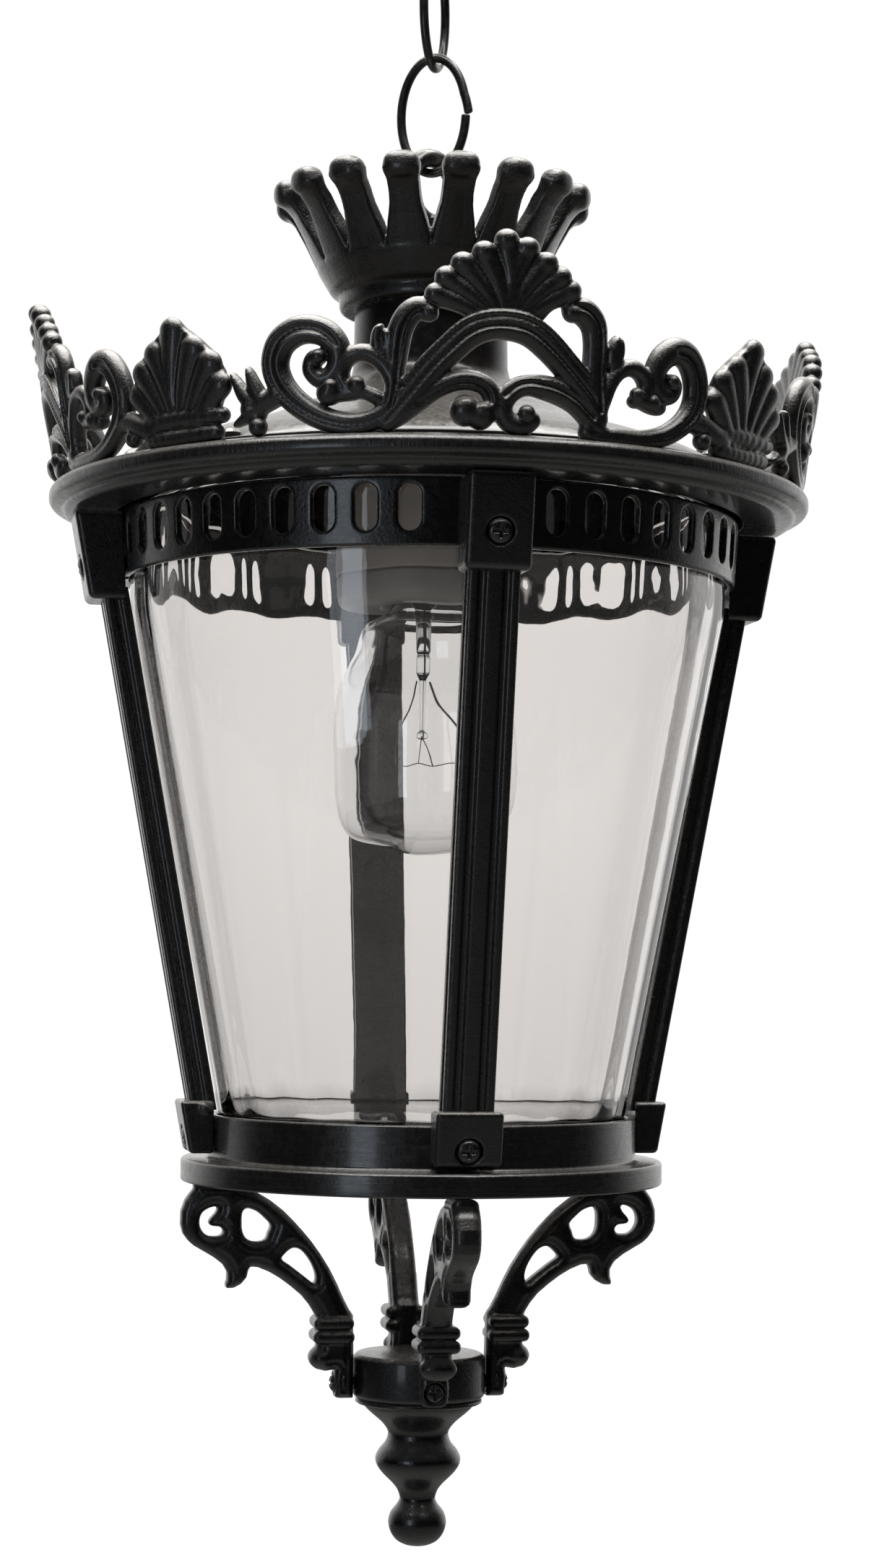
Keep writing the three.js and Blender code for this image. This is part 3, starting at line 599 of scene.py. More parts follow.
def fan(root, tips, narrow, wide, bend=0.06, start=0.16):
    """Tapered lobes from near a root to each tip, with a slight S in each."""
    root = np.array(root, float)
    lobes = []
    for tip in tips:
        tip = np.array(tip, float)
        way = tip - root
        length = np.linalg.norm(way)
        way = way / length
        across = np.array([-way[1], way[0]]) * np.sign(way[0] + 1e-6)
        end = length - wide
        lobe = []
        for t in np.linspace(start, 1, 7):
            at = root + way * end * t + across * math.sin(t * math.pi) * length * bend
            lobe.append((*at, narrow + (wide - narrow) * t**0.8))
        lobes.append(lobe)
    return lobes


class Casting:
    """A relief built of rounded strokes and balls: x and y lie in the face, z is relief."""

    def __init__(self, low, high, step, back):
        self.axes, self.step = grid(low, high, step)
        self.field = np.full([len(a) for a in self.axes], 6.0)
        self.back = back

    def window(self, low, high):
        """The part of the field over a rectangle of the face."""
        spans = []
        for axis, step, start, end in zip(self.axes[:2], self.step[:2], low, high):
            first = max(0, int((start - axis[0]) / step))
            spans.append(slice(first, int((end - axis[0]) / step) + 2))
        return (*spans, slice(None))

    def places(self, where):
        return spread([axis[part] for axis, part in zip(self.axes, where)])

    def put(self, part, where, blend, cut=False):
        here = self.field[where]
        self.field[where] = carve(here, part, blend) if cut else join(here, part, blend)

    def stroke(self, points, lift=0.0, height=(1.5, 0.5), blend=0.7, cut=False, steps=4):
        """height is (flat part, share of the half width) of the relief above lift."""
        path = smooth_path(points, steps)
        flat, share = height
        for a, b in zip(path[:-1], path[1:]):
            reach = max(a[2], b[2]) + 1.6
            where = self.window(np.minimum(a, b)[:2] - reach, np.maximum(a, b)[:2] + reach)
            x, y, z = self.places(where)
            e = b[:2] - a[:2]
            t = np.clip(((x - a[0]) * e[0] + (y - a[1]) * e[1]) / max(e.dot(e), 1e-9), 0, 1)
            half = a[2] + (b[2] - a[2]) * t
            flat_distance = np.hypot(x - a[0] - t * e[0], y - a[1] - t * e[1])
            tall = flat + share * half
            part = np.hypot(flat_distance, (z - lift) * half / tall) - half
            self.put(part, where, blend, cut)

    def ball(self, u, v, radius, lift, blend=0.5, cut=False):
        reach = radius + 1.5
        where = self.window((u - reach, v - reach), (u + reach, v + reach))
        x, y, z = self.places(where)
        self.put(np.sqrt((x - u) ** 2 + (y - v) ** 2 + (z - lift) ** 2) - radius, where, blend, cut)

    def plate(self, outline, lift, half, edge, blend=0.8):
        outline = np.asarray(outline, float)
        where = self.window(outline.min(0) - 2, outline.max(0) + 2)
        x = self.axes[0][where[0]][:, None]
        y = self.axes[1][where[1]][None, :]
        flat = loop_distance(x + 0 * y, y + 0 * x, [outline])[:, :, None]
        self.put(slab(flat, self.axes[2][None, None, :] - lift, half, edge), where, blend)

    def mesh(self):
        z = self.axes[2][None, None, :]
        field = -join(-self.field, -(self.back - z), 1.2)
        return surface(field, self.axes, self.step)


def beside(points, offset, half):
    """A stroke that runs beside another, at a share of its half width."""
    path = smooth_path(points, 2)
    way = np.gradient(path[:, :2], axis=0)
    way /= np.linalg.norm(way, axis=1)[:, None]
    side = np.stack([-way[:, 1], way[:, 0]], 1)
    at = path[:, :2] + side * (path[:, 2] * offset)[:, None]
    return np.concatenate([at, path[:, 2:] * half], 1)


def crest_mesh():
    casting = Casting((-86, -3.5, -4.2), (109, 62, 6.2), (0.5, 0.5, 0.5), back=-3.0)
    for lobe in fan(SHELL_ROOT, SHELL_TIPS, 0.9, 3.5):
        casting.stroke(lobe, lift=0.3, height=(0.6, 0.75), blend=0.25)
    for x, y in SHELL_TIPS:
        way = np.array([x, y]) - SHELL_ROOT
        way /= np.linalg.norm(way)
        casting.ball(x - way[0] * 3.1, y - way[1] * 3.1, 3.0, 1.2, blend=0.8)
    casting.plate(SHELL_PLATE, -0.6, 1.5, 0.8)
    for lobe in fan(PALMETTE_ROOT, PALMETTE_TIPS, 0.2, 4.2, bend=0.05, start=0.42):
        casting.stroke(lobe, lift=0.3, height=(0.4, 0.62), blend=0.2)
    casting.plate(PALMETTE_PLATE, -0.8, 1.9, 1.0)
    for points in (LEFT_SCROLL, RIGHT_SCROLL, ARCH, LEFT_SPIRAL, RIGHT_SPIRAL, UNDER_LEFT, UNDER_RIGHT,
                   LEFT_LEAF, RIGHT_LEAF, *PLAIN_STROKES):
        casting.stroke(points)
    for points in (LEFT_SCROLL, RIGHT_SCROLL):
        casting.stroke(beside(points[:12], 0.1, 0.42), 4.3, GROOVE, 0.5, cut=True, steps=2)
    casting.stroke(beside(ARCH, 0.1, 0.22), 3.7, GROOVE, 0.4, cut=True, steps=2)
    casting.stroke(beside(ARCH[2:12], 1.0, 0.22), 2.2, GROOVE, 0.3, steps=2)
    for points in (UNDER_LEFT[1:7], UNDER_RIGHT[1:8], LEFT_LEAF, RIGHT_LEAF):
        casting.stroke(beside(points, -0.25, 0.25), 3.2, GROOVE, 0.4, cut=True, steps=2)
    for u, v, radius, lift in BALLS:
        casting.ball(u, v, radius, lift)
    return casting.mesh()


def bent_on_rim(points, azimuth):
    u, v, w = points.T
    lean = math.radians(CREST["lean"])
    a = math.radians(azimuth) + u / CREST["radius"]
    r = CREST["radius"] + v * math.sin(lean) + w * math.cos(lean)
    z = CREST["foot"] + v * math.cos(lean) - w * math.sin(lean)
    return np.stack([r * np.sin(a), -r * np.cos(a), z], 1)


crest_points, crest_faces = crest_mesh()
for number, azimuth in enumerate(QUARTERS, 1):
    place(f"crest_{number}", bent_on_rim(crest_points, azimuth), crest_faces, CAST, f"cresting_{number}")


# ---------------------------------------------------------------- coronet
PRONGS = 16


def coronet_mesh():
    """Collar, cup and prongs as one casting; one prong's field is repeated round the axis."""
    axes, step = grid((-56, -56, 58.5), (56, 56, 105), (0.63, 0.63, 0.63))
    x, y, z = spread(axes)
    r = np.hypot(x, y)
    sector = 2 * math.pi / PRONGS
    a = (np.arctan2(y, x) + sector / 2) % sector - sector / 2
    out = r * np.cos(a)
    side = np.abs(r * np.sin(a))
    field = loop_distance(r + 0 * z, z + 0 * r, [rounded(
        [
            (5.4, 59.9), (30.3, 59.9), (30.9, 61.2), (30.9, 64.6), (32.2, 65.2), (33.8, 66.0), (37.3, 71.9),
            (38.6, 74.4), (34.0, 74.0), (30.6, 70), (5.4, 70),
        ], 0.8, 3, True)])
    lean = math.radians(27)
    along = (out - 35.2) * math.sin(lean) + (z - 74) * math.cos(lean)
    above = (out - 35.2) * math.cos(lean) - (z - 74) * math.sin(lean)
    s = np.clip(along, -6, 27)
    half = np.interp(s, [-6, -1, 4, 9, 12, 15, 18, 22, 27], [8.2, 7.7, 7.15, 6.45, 5.8, 5.25, 5.1, 5.2, 5.4])
    thick = np.interp(s, [-6, 4, 20, 27], [2.6, 2.8, 2.6, 2.7])
    bow = np.interp(s, [-6, 0, 12, 20, 27], [-0.6, 0, 0, 0.4, 2.2]) - 0.013 * side**2
    q = (np.maximum(side / half, 1e-3) ** 7 + (np.abs(above - bow) / thick) ** 7) ** (1 / 7)
    blade = (q - 1) * thick
    blade = np.maximum(blade, np.maximum(along - 27, -7 - along))
    q = ((side / 6.0) ** 2.5 + (np.abs(out - 49.2) / 4.5) ** 2.5 + (np.abs(z - 97.6) / 4.4) ** 2.5) ** 0.4
    field = join(field, blade, 0.8)
    field = join(field, (q - 1) * 4.4, 1.2)
    return surface(field, axes, step)


place("coronet_cast", *coronet_mesh(), CAST, "coronet")


# ---------------------------------------------------------------- hook, chain and loop
def ring_path(half_width, half_height, count, start=0.0, end=360.0):
    a = np.radians(np.linspace(start, end, count, endpoint=abs(end - start) < 360))
    return np.stack([half_width * np.cos(a), 0 * a, half_height * np.sin(a)], 1)


LINK = {"half_width": 11.45, "half_height": 19.75, "wire": 1.55}
UPPER_TURN = 60.8
LOWER_TURN = -29.2
LOOP_TURN = 34.3

upper = ring_path(LINK["half_width"], LINK["half_height"], 96) + [0, 0, 163.7]
points, faces = wire(upper, LINK["wire"], 16, closed=True)
place("link_upper", turn(points, UPPER_TURN), faces, CHAIN, "chain_link_upper", "upper_link")

# the lower link's butt joint stands a little open
lower = ring_path(LINK["half_width"], LINK["half_height"], 96, 1.6, 356.6) + [0, 0, 127.6]
lower[:6, 0] += np.linspace(0.9, 0, 6)
points, faces = wire(lower, LINK["wire"], 16)
place("link_lower", turn(points, LOWER_TURN), faces, CHAIN, "chain_link_lower", "lower_link")

hook_path = smooth_path([
    (0, 0, 206.2), (0, 0, 203), (0, 0, 199.5), (3, 0, 195.5), (6.8, 0, 191.8), (8, 0, 187.6),
    (5.7, 0, 181.9), (0, 0, 179.6), (-5.7, 0, 181.9), (-8, 0, 187.6), (-7.6, 0, 190.6),
    (-8.2, 0, 192.6),
], 6)
points, faces = wire(hook_path, 2.0, 16)
place("hook", turn(points, LOWER_TURN), faces, CHAIN, "ceiling_hook", "ceiling")

plate_profile = [(0, 215), (35, 215), (35, 212.6), (32, 211), (10, 209.2), (8.6, 206.2), (6, 206), (0, 206)]
turned("ceiling_rose", plate_profile, SPUN, "ceiling_plate", 96, 0.8, body="ceiling")

loop_points, loop_faces = wire(ring_path(11, 11, 80) + [0, 0, 101.8], 3.1, 20, closed=True)
rod_profile = rounded([
    (0, 92.6), (4.2, 92.6), (5, 91.6), (5, 76.4), (8.4, 75.4), (9.2, 74.3), (9.2, 70.3), (5, 70.3), (5, 3),
    (0, 3),
], 0.4)
stem_profile = rounded([(0, 92), (3.6, 92), (4.6, 88), (5.2, 80), (5.2, 76), (0, 76)], 0.5)
loop_parts = [(turn(loop_points, LOOP_TURN), loop_faces), lathe(rod_profile, 48), lathe(stem_profile, 48)]
place("loop_and_rod", *merged(loop_parts), CAST_SMOOTH, "suspension_loop")


# ---------------------------------------------------------------- roof, rim, band
roof_profile = [
    (5.4, 59.5), (25.2, 59.5), (25.7, 59), (25.7, 51.5), (25.9, 41), (26.6, 37.6), (28.5, 35), (31.4, 32.6),
    (35.2, 30.4), (39.8, 28.2), (44.7, 26.1), (53.9, 22.0), (62.7, 18.6), (71.3, 16), (78, 13.9),
    (85, 11.5), (93, 8.3), (98, 5.6), (101.5, 2.9), (103.2, 0.9), (111, 0.8), (111, -0.7), (101.8, -0.7),
    (99.5, 2.2), (96.8, 4.4), (92, 6.8), (84.5, 9.8), (70.8, 14.3), (62, 17), (53.2, 20.3), (44, 24.3),
    (34.4, 28.6), (27.4, 33.6), (24.3, 38), (24, 51), (24, 57.5), (5.4, 57.5),
]
turned("roof_dome", roof_profile, SPUN, "roof", 192, 1.2, closed=True, slot="roof_paint")

rim_profile = [
    (104.5, -1), (111.6, -1), (112, -1.9), (118, -2), (122.4, -2.5), (125, -3.4), (126, -4.9), (126, -7.4),
    (125.2, -8.6), (122.4, -9.3), (121.6, -9.7), (121.3, -10.5), (120.6, -11.3), (119, -11.9),
    (117.6, -12.0), (104.5, -12),
]
turned("rim_ring", rim_profile, RIM_PAINT, "rim", 224, 0.7, closed=True)

SLOT = {"half": 3.5, "straight": 3.55, "z": -21.35, "pitch": 7.5, "count": 10}
SLOT_STARTS = (11.7, 10.1, 10.1, 8.6)
BAND = {"middle": 102.4, "top": 103.0, "foot": 101.8, "top_z": -12.3, "height": 20.7, "half_wall": 1.3}


def band_mesh():
    """The band unrolled: x runs round at the band's radius, y is height, z is depth from the outer face."""
    radius = BAND["middle"]
    turn_length = 2 * math.pi * radius
    around = int(turn_length / (0.55 * FINE))
    step = np.array([turn_length / around, 0.55 * FINE, 0.5])
    axes = [np.arange(-1, around + 1) * step[0], np.arange(-34.1, -11.2, step[1]),
            np.arange(-3.6, 1.1, step[2])]
    x, y, z = spread(axes)
    edge = 0.6
    body_y = np.abs(y + 22.5) - 10.5 + edge
    body_z = np.abs(z + BAND["half_wall"]) - BAND["half_wall"] + edge
    outside = np.hypot(np.maximum(body_y, 0), np.maximum(body_z, 0))
    field = outside + np.minimum(np.maximum(body_y, body_z), 0) - edge + 0 * x
    tall = np.maximum(np.abs(y - SLOT["z"]) - SLOT["straight"], 0)
    for quarter, first in enumerate(SLOT_STARTS):
        for k in range(SLOT["count"]):
            centre = math.radians(90 * quarter + first + SLOT["pitch"] * k) * radius
            gap = (x - centre + turn_length / 2) % turn_length - turn_length / 2
            near = np.abs(gap[:, 0, 0]) < 8
            slot = np.hypot(gap[near], tall) - SLOT["half"] + 0 * z
            field[near] = carve(field[near], slot, 0.9)
    for azimuth in QUARTERS:
        gap = (x - math.radians(azimuth) * radius + turn_length / 2) % turn_length - turn_length / 2
        near = np.abs(gap[:, 0, 0]) < 5
        hole = np.hypot(gap[near], y + 32.4) - 2.3 + 0 * z
        field[near] = carve(field[near], hole, 0.3)
    points, (quads,) = surface(field, axes, step)
    a = points[:, 0] / radius
    lean = (BAND["top"] - BAND["foot"]) / BAND["height"]
    r = BAND["top"] + points[:, 2] - (BAND["top_z"] - points[:, 1]) * lean
    bent = np.stack([r * np.sin(a), -r * np.cos(a), points[:, 1]], 1)
    # the two ends meet: their shared points and faces are kept once
    key = np.round(bent * 200).astype(np.int64)
    _, first_of, back = np.unique(key, axis=0, return_index=True, return_inverse=True)
    quads = back.reshape(-1)[quads]
    keep = (quads != np.roll(quads, 1, 1)).all(1) & (quads[:, :2] != quads[:, 2:]).all(1)
    _, once = np.unique(np.sort(quads[keep], 1), axis=0, return_index=True)
    return bent[first_of], [quads[keep][once]]


place("air_band", *band_mesh(), CAST_SMOOTH, "vent_band")


# ---------------------------------------------------------------- posts and their screws
POST = {"outer": 108.0, "at": -42.0, "slope": 0.1875}
POST_LEAN = math.atan(POST["slope"])
TOP_SCREW = (115.3, -30.2)
BOTTOM_SCREW = (78.3, -215.3)


def post_radius(y, z):
    """The radius of a place in the post's sheared frame."""
    return POST["outer"] + POST["slope"] * (z - POST["at"]) + y


def box_field(x, y, z, low, high, edge):
    """A box with rounded edges as a distance field."""
    inner = [np.abs(v - (a + b) / 2) - (b - a) / 2 + edge for v, a, b in zip((x, y, z), low, high)]
    inside = np.minimum(np.maximum(np.maximum(inner[0], inner[1]), inner[2]), 0)
    outside = np.sqrt(sum(np.maximum(v, 0) ** 2 for v in inner))
    return inside + outside - edge


def post_mesh():
    """One post in a sheared frame: x across, y outward from the shaft's outer face, z height."""
    parts = []
    half = [
        (2.3, 0), (3.2, -1.3), (4.5, -1.3), (5.4, 0), (7.3, 0), (8, -0.7), (8, -2.7), (7.1, -3.4),
        (7.1, -4.8), (8, -5.6), (8, -8.4),
    ]
    section = [(-x, y) for x, y in half[::-1]] + half
    section = rounded(section, 0.45, 2, True)
    heights = np.linspace(-206, -37, 90)
    n = len(section)
    points = np.concatenate([np.column_stack([section, np.full(n, h)]) for h in heights])
    i, j = np.meshgrid(np.arange(len(heights) - 1), np.arange(n), indexing="ij")
    i, j = i.ravel(), j.ravel()
    quads = np.stack([i * n + j, i * n + (j + 1) % n, (i + 1) * n + (j + 1) % n, (i + 1) * n + j], 1)
    parts.append((points, [quads]))
    for low, high, screw, edge in (
        ((-10.25, -14.0, -41.2), (10.25, 5.0, -12.3), TOP_SCREW, 1.9),
        ((-10.5, -8.2, -219.9), (10.5, 3.2, -203.0), BOTTOM_SCREW, 1.4),
    ):
        axes, step = grid(np.array(low) - 1, np.array(high) + 1, (0.42, 0.42, 0.42))
        x, y, z = spread(axes)
        field = box_field(x, y, z, low, high, edge)
        radius = post_radius(y, z)
        if screw == TOP_SCREW:
            field = carve(field, np.hypot(x, radius) - 103.3 + (z + 12.3) * -0.058 - 0.05, 0.4)
        else:
            field = carve(field, np.hypot(x, radius) - 70.8, 0.4)
            bump = np.sqrt((x - 9.2) ** 2 + (y + 4.5) ** 2 + (z + 205.5) ** 2) - 2.4
            field = join(field, bump, 0.8)
        centre_r, centre_z = screw
        out = (radius - centre_r) * math.cos(POST_LEAN) - (z - centre_z) * math.sin(POST_LEAN)
        up = (z - centre_z) * math.cos(POST_LEAN) + (radius - centre_r) * math.sin(POST_LEAN)
        bore = np.maximum(np.hypot(x, up) - 4.35, -1.9 - out)
        field = carve(field, bore, 0.5)
        field = carve(field, np.hypot(x, up) - 2.35, 0.3)
        block_points, (block_quads,) = surface(field, axes, step)
        parts.append((block_points, [block_quads[:, ::-1]]))
    points, faces = merged(parts)
    return np.stack([points[:, 0], -post_radius(points[:, 1], points[:, 2]), points[:, 2]], 1), faces


def screw_mesh(length, head=3.9, shank=2.0):
    """A pan head with a cross recess, along +Z, its bearing face at 0."""
    axes, step = grid((-4.6, -4.6, -0.8), (4.6, 4.6, 3.4), (0.26, 0.26, 0.26))
    x, y, z = spread(axes)
    r = np.hypot(x, y)
    profile = [(0, 0), (head, 0), (head, 1.0), (head - 0.7, 1.9), (head - 2, 2.4), (0, 2.6), (-3, 2.6),
               (-3, 0)]
    head_field = loop_distance(r + 0 * z, z + 0 * r, [rounded(profile, 0.35, 3, True)])
    arm = np.minimum(
        np.maximum(np.abs(x) - 0.5, np.abs(y) - 2.2), np.maximum(np.abs(y) - 0.5, np.abs(x) - 2.2)
    )
    recess = np.maximum(arm, 1.0 - z + r * 0.3)
    head_field = carve(head_field, recess, 0.25)
    shank_profile = [(0, 0.4), (shank, 0.4), (shank, -length + 0.8), (shank - 0.6, -length), (0, -length)]
    return merged([surface(head_field, axes, step), lathe(rounded(shank_profile, 0.3), 20)])


def on_post_face(points, place_of, azimuth, lift=-1.6):
    """Screw points along +Z laid along the sloping face's outward normal."""
    radius, height = place_of
    x, y, z = points.T
    z = z + lift
    out = z * math.cos(POST_LEAN) + y * math.sin(POST_LEAN)
    up = y * math.cos(POST_LEAN) - z * math.sin(POST_LEAN)
    laid = np.stack([-x, -(radius + out), height + up], 1)
    return turn(laid, azimuth)


post_points, post_faces = post_mesh()
top_points, top_faces = screw_mesh(12.6)
bottom_points, bottom_faces = screw_mesh(8.8)
for number, azimuth in enumerate(QUARTERS, 1):
    place(f"slim_post_{number}", turn(post_points, azimuth), post_faces, CAST, f"post_{number}")
    place(f"post_pan_screw_top_{number}", on_post_face(top_points, TOP_SCREW, azimuth), top_faces,
          CAST_SMOOTH, f"post_screw_top_{number}")
    place(f"post_pan_screw_bottom_{number}", on_post_face(bottom_points, BOTTOM_SCREW, azimuth), bottom_faces,
          CAST_SMOOTH, f"post_screw_bottom_{number}")


# ---------------------------------------------------------------- glass and lower ring
FLUTES = 24


def fluted(a, r, z):
    """Flutes pressed in the outer face, deeper at the neck, gone at the lip and the foot."""
    deep = 0.13 + 0.12 * np.clip((z + 54) / 8, 0, 1) + 0.16 * np.clip((-188 - z) / 14, 0, 1)
    deep = deep * np.clip((z + 210.5) / 4, 0, 1) * np.clip((-17 - z) / 6, 0, 1)
    wall = np.interp(z, [-206, -44, -16], [65.7, 96.7, 97.1])
    return np.where((r > wall) & (r > 40), r - deep * np.cos(a * FLUTES), r)


outer = [(0, -212), (30, -212), (60, -212), (64.6, -211.4), (66.4, -209.6), (67.2, -206)]
outer += [(67.2 + (98.3 - 67.2) * k / 24, -206 + 162 * k / 24) for k in range(1, 25)]
outer += [(98.7, -38), (98.7, -30), (98.6, -11), (98.2, -8.6), (97.2, -8), (96.2, -8.6), (95.8, -11)]
inner = [(95.8, -30), (95.7, -38)]
inner += [(95.2 - (95.2 - 64.2) * k / 24, -44.6 - 161.4 * k / 24) for k in range(0, 25)]
inner += [(62.8, -207.6), (60, -208), (30, -208), (0, -208)]
place("fluted_glass", *lathe(outer + inner, FLUTES * 12, fluted), LANTERN_GLASS, "glass", slot="clear_glass")

ring_profile = [
    (52, -229.4), (78.6, -229.4), (79.1, -228.9), (79.1, -222.6), (78.4, -221.9), (71.6, -221.9),
    (70.4, -221.2), (70.4, -208.2), (69.9, -207.7), (68.1, -207.7), (67.6, -208.2), (67.6, -226),
    (52, -226),
]
turned("base_ring", ring_profile, TURNED, "lower_ring", 192, 0.6, closed=True)
seat_profile = [(58, -225.7), (66.8, -225.7), (66.8, -219.8), (64.4, -218.8), (64.4, -214.6), (58, -214.6)]
turned("seat_ring", seat_profile, TURNED, "glass_seat", 160, 0.5, closed=True)
gasket_profile = [(58.5, -214.3), (64.2, -214.3), (64.2, -212.3), (58.5, -212.3)]
turned("gasket_ring", gasket_profile, RUBBER, "glass_gasket", 160, 0.7, closed=True, slot="rubber")


# ---------------------------------------------------------------- brackets, hub, finial
BRACKET = [
    (75.5, -229.7), (75.3, -231.6), (78, -235.2), (79.3, -239), (79.4, -243.2), (78.6, -246.1),
    (76.8, -248.5), (75, -250.1), (72, -251.8), (68.4, -253.9), (65.4, -256.2), (64, -258.6), (64, -261),
    (64.5, -262.7), (64.2, -263.9), (61.7, -263.8), (59.3, -262.5), (57.5, -260.4), (57, -258.1),
    (56.4, -257), (54, -257.2), (50.3, -258.7), (46.7, -260.8), (43, -263.5), (39.4, -266.5),
    (36.9, -269.5), (35.4, -271.9), (34.5, -273.6), (34.3, -277.5), (34.3, -281.4), (34.4, -283.9),
    (36.4, -286.3), (34.3, -289.9), (31.5, -290.9), (28.4, -290.4), (29, -293.4), (28.6, -296.6),
    (28.1, -299.4), (26.6, -299.7), (22.1, -299.7), (22.1, -290), (22.1, -283), (22.4, -272.9),
    (23.8, -270.9), (25.7, -267.3), (27.9, -262.5), (30.4, -257.7), (33.5, -252.9), (36.6, -248.7),
    (39.7, -245.1), (42.7, -241.9), (45.8, -238.9), (50.1, -235.6), (54.3, -233.1), (60.5, -231.2),
    (60.8, -229.7),
]
COMMA = [
    (67.5, -237.6), (69.9, -237.9), (72.2, -239.3), (73.1, -241.4), (73, -243.8), (71.8, -245.9),
    (70, -247), (67.3, -247.1), (66, -246.5), (65.5, -245.3), (66.5, -244.1), (68.3, -243.9),
    (69.8, -243.5), (70.3, -242.3), (69.2, -240.8), (68, -239.4),
]
ROUND_HOLE = [
    (58.2, -238.2), (59.3, -239.7), (59.4, -243.3), (59.1, -245.6), (58, -247.7), (55.9, -248.8),
    (52.9, -248.8), (51.4, -247.8), (50.9, -246), (50, -243.6), (51.8, -241.5), (54.2, -239.4),
    (56.4, -238.4),
]
TEARDROP = [
    (42.3, -251), (43.8, -251.7), (45.3, -253.1), (46.2, -254.6), (43.7, -256.4), (40.1, -259.1),
    (37, -261.5), (35.5, -262.5), (34.9, -261.2), (35.2, -258.9), (36.5, -255.9), (38.6, -252.9),
    (40.5, -251.4),
]
# each bead is (near radius, far radius, top, bottom, half width)
BEADS = [(22.5, 35.8, -273.2, -277.4, 7.0), (22.3, 36.0, -277.6, -281.8, 7.1)]
FOOT_SCREW_Z = -295


def bracket_mesh():
    """x is the radius, y across, z height."""
    axes, step = grid((20.5, -8, -301.5), (81.5, 8, -228), (0.5, 0.55, 0.5))
    x, y, z = spread(axes)
    holes = [smooth_path(loop, 2, True)[:, :2] for loop in (COMMA, ROUND_HOLE, TEARDROP)]
    flat = loop_distance(x + 0 * z, z + 0 * x, [BRACKET, *holes])
    half = np.interp(z, [-287, -284], [5.3, 4.9])
    field = slab(flat, y, half, 3.7)
    line = np.maximum(np.abs(flat + 2.6) - 0.55, 4.5 - np.abs(y))
    field = carve(field, line, 0.6)
    for near, far, top, bottom, wide in BEADS:
        field = join(field, box_field(x, y, z, (near, -wide, bottom), (far, wide, top), 2.0), 0.5)
    curl = np.sqrt((x - 33.2) ** 2 + (y / 1.7) ** 2 + (z + 286.6) ** 2) - 3.6
    field = join(field, curl, 1.0)
    bore = np.hypot(y, z - FOOT_SCREW_Z)
    field = carve(field, np.maximum(bore - 2.3, 20 - x), 0.3)
    field = carve(field, np.maximum(bore - 3.3, 27.1 - x), 0.4)
    points, quads = surface(field, axes, step)
    return np.stack([points[:, 1], -points[:, 0], points[:, 2]], 1), quads


bracket_points, bracket_faces = bracket_mesh()
foot_points, foot_faces = screw_mesh(15.6, head=2.9, shank=1.9)
x, y, z = foot_points.T
foot_points = np.stack([x, -(27.4 + z), FOOT_SCREW_Z + y], 1)
under_points, under_faces = screw_mesh(12.2, head=3.5, shank=1.9)
under_points = under_points + [0, -62.6, -225.7]
for number, azimuth in enumerate(QUARTERS, 1):
    place(f"scroll_bracket_{number}", turn(bracket_points, azimuth), bracket_faces, CAST, f"bracket_{number}")
    place(f"foot_screw_{number}", turn(foot_points, azimuth), foot_faces, CAST_SMOOTH, f"hub_screw_{number}")
    place(f"ring_screw_{number}", turn(under_points, azimuth), under_faces, STEEL, f"bracket_screw_{number}",
          slot="zinc_steel")

hub_profile = [
    (0, -285.5), (20.4, -285.5), (21.8, -286.8), (21.8, -298.6), (20.8, -299.8), (4.5, -299.8),
    (4.5, -289.5), (0, -289.5),
]
turned("hub_block", hub_profile, CAST, "hub", 96, 0.6)
finial_profile = smooth_path([
    (18.4, -301.6), (17.6, -303), (15.6, -304.9), (12.2, -307.8), (10.2, -310.4), (10.0, -312.4),
    (10.9, -314.6), (12.6, -316.6), (13.8, -318.8), (13.9, -320.6), (13.2, -322.4), (11.5, -324.6),
    (8.6, -327.4), (6.8, -329.6), (6.0, -331.6), (5.9, -333), (6.9, -334.8), (8.6, -336.9),
    (9.4, -339.2), (9.4, -341.2), (8.6, -343.8), (6.7, -346.2), (3.9, -347.6), (1.4, -348.0),
], 3)
spigot = [
    (0, -290), (3.6, -290), (4, -290.6), (4, -300.1), (20.2, -300.1), (20.8, -300.4), (20.8, -301.2),
    (20.2, -301.6),
]
finial_profile = np.concatenate([spigot, finial_profile, [(0, -348.1)]])
place("turned_finial", *lathe(finial_profile, 96), CAST_SMOOTH, "finial")


# ---------------------------------------------------------------- lampholder and lamp
shroud_profile = [
    (5.3, 10.3), (20, 10.3), (24.5, 8.6), (27.2, 5.2), (28.2, 1), (28.2, -29.4), (26.4, -29.4), (26.2, 1),
    (22.2, 8.4), (5.3, 8.4),
]
turned("porcelain_shroud", shroud_profile, PAINTED_SHADE_PORCELAIN, "lampholder_shroud", 128, 0.9, closed=True,
       slot="porcelain")
base_profile = [
    (15.2, -1), (15.2, -29), (17.4, -39.4), (18.4, -39.9), (25.6, -39.9), (27.2, -38.8), (28, -36.6),
    (28, -29.8), (26, -29.8), (26, -1),
]
turned("porcelain_skirt", base_profile, PORCELAIN, "lampholder_base", 128, 0.8, closed=True, slot="porcelain")
shell_profile = [(0, -1.4), (14.9, -1.4), (14.9, -28.6), (14.2, -28.6), (14.2, -2.2), (0, -2.2)]
turned("contact_shell", shell_profile, BRASS, "lampholder_shell", 96, 0.3, slot="brass")

THREAD = 3.629


def threaded(a, r, z):
    """A rolled thread in the cap's wall."""
    on = np.clip((z + 27.5) / 2, 0, 1) * np.clip((-11 - z) / 2, 0, 1)
    return np.where(r > 11.5, r - 0.9 * on * (0.5 - 0.5 * np.cos(2 * math.pi * z / THREAD - a)), r)


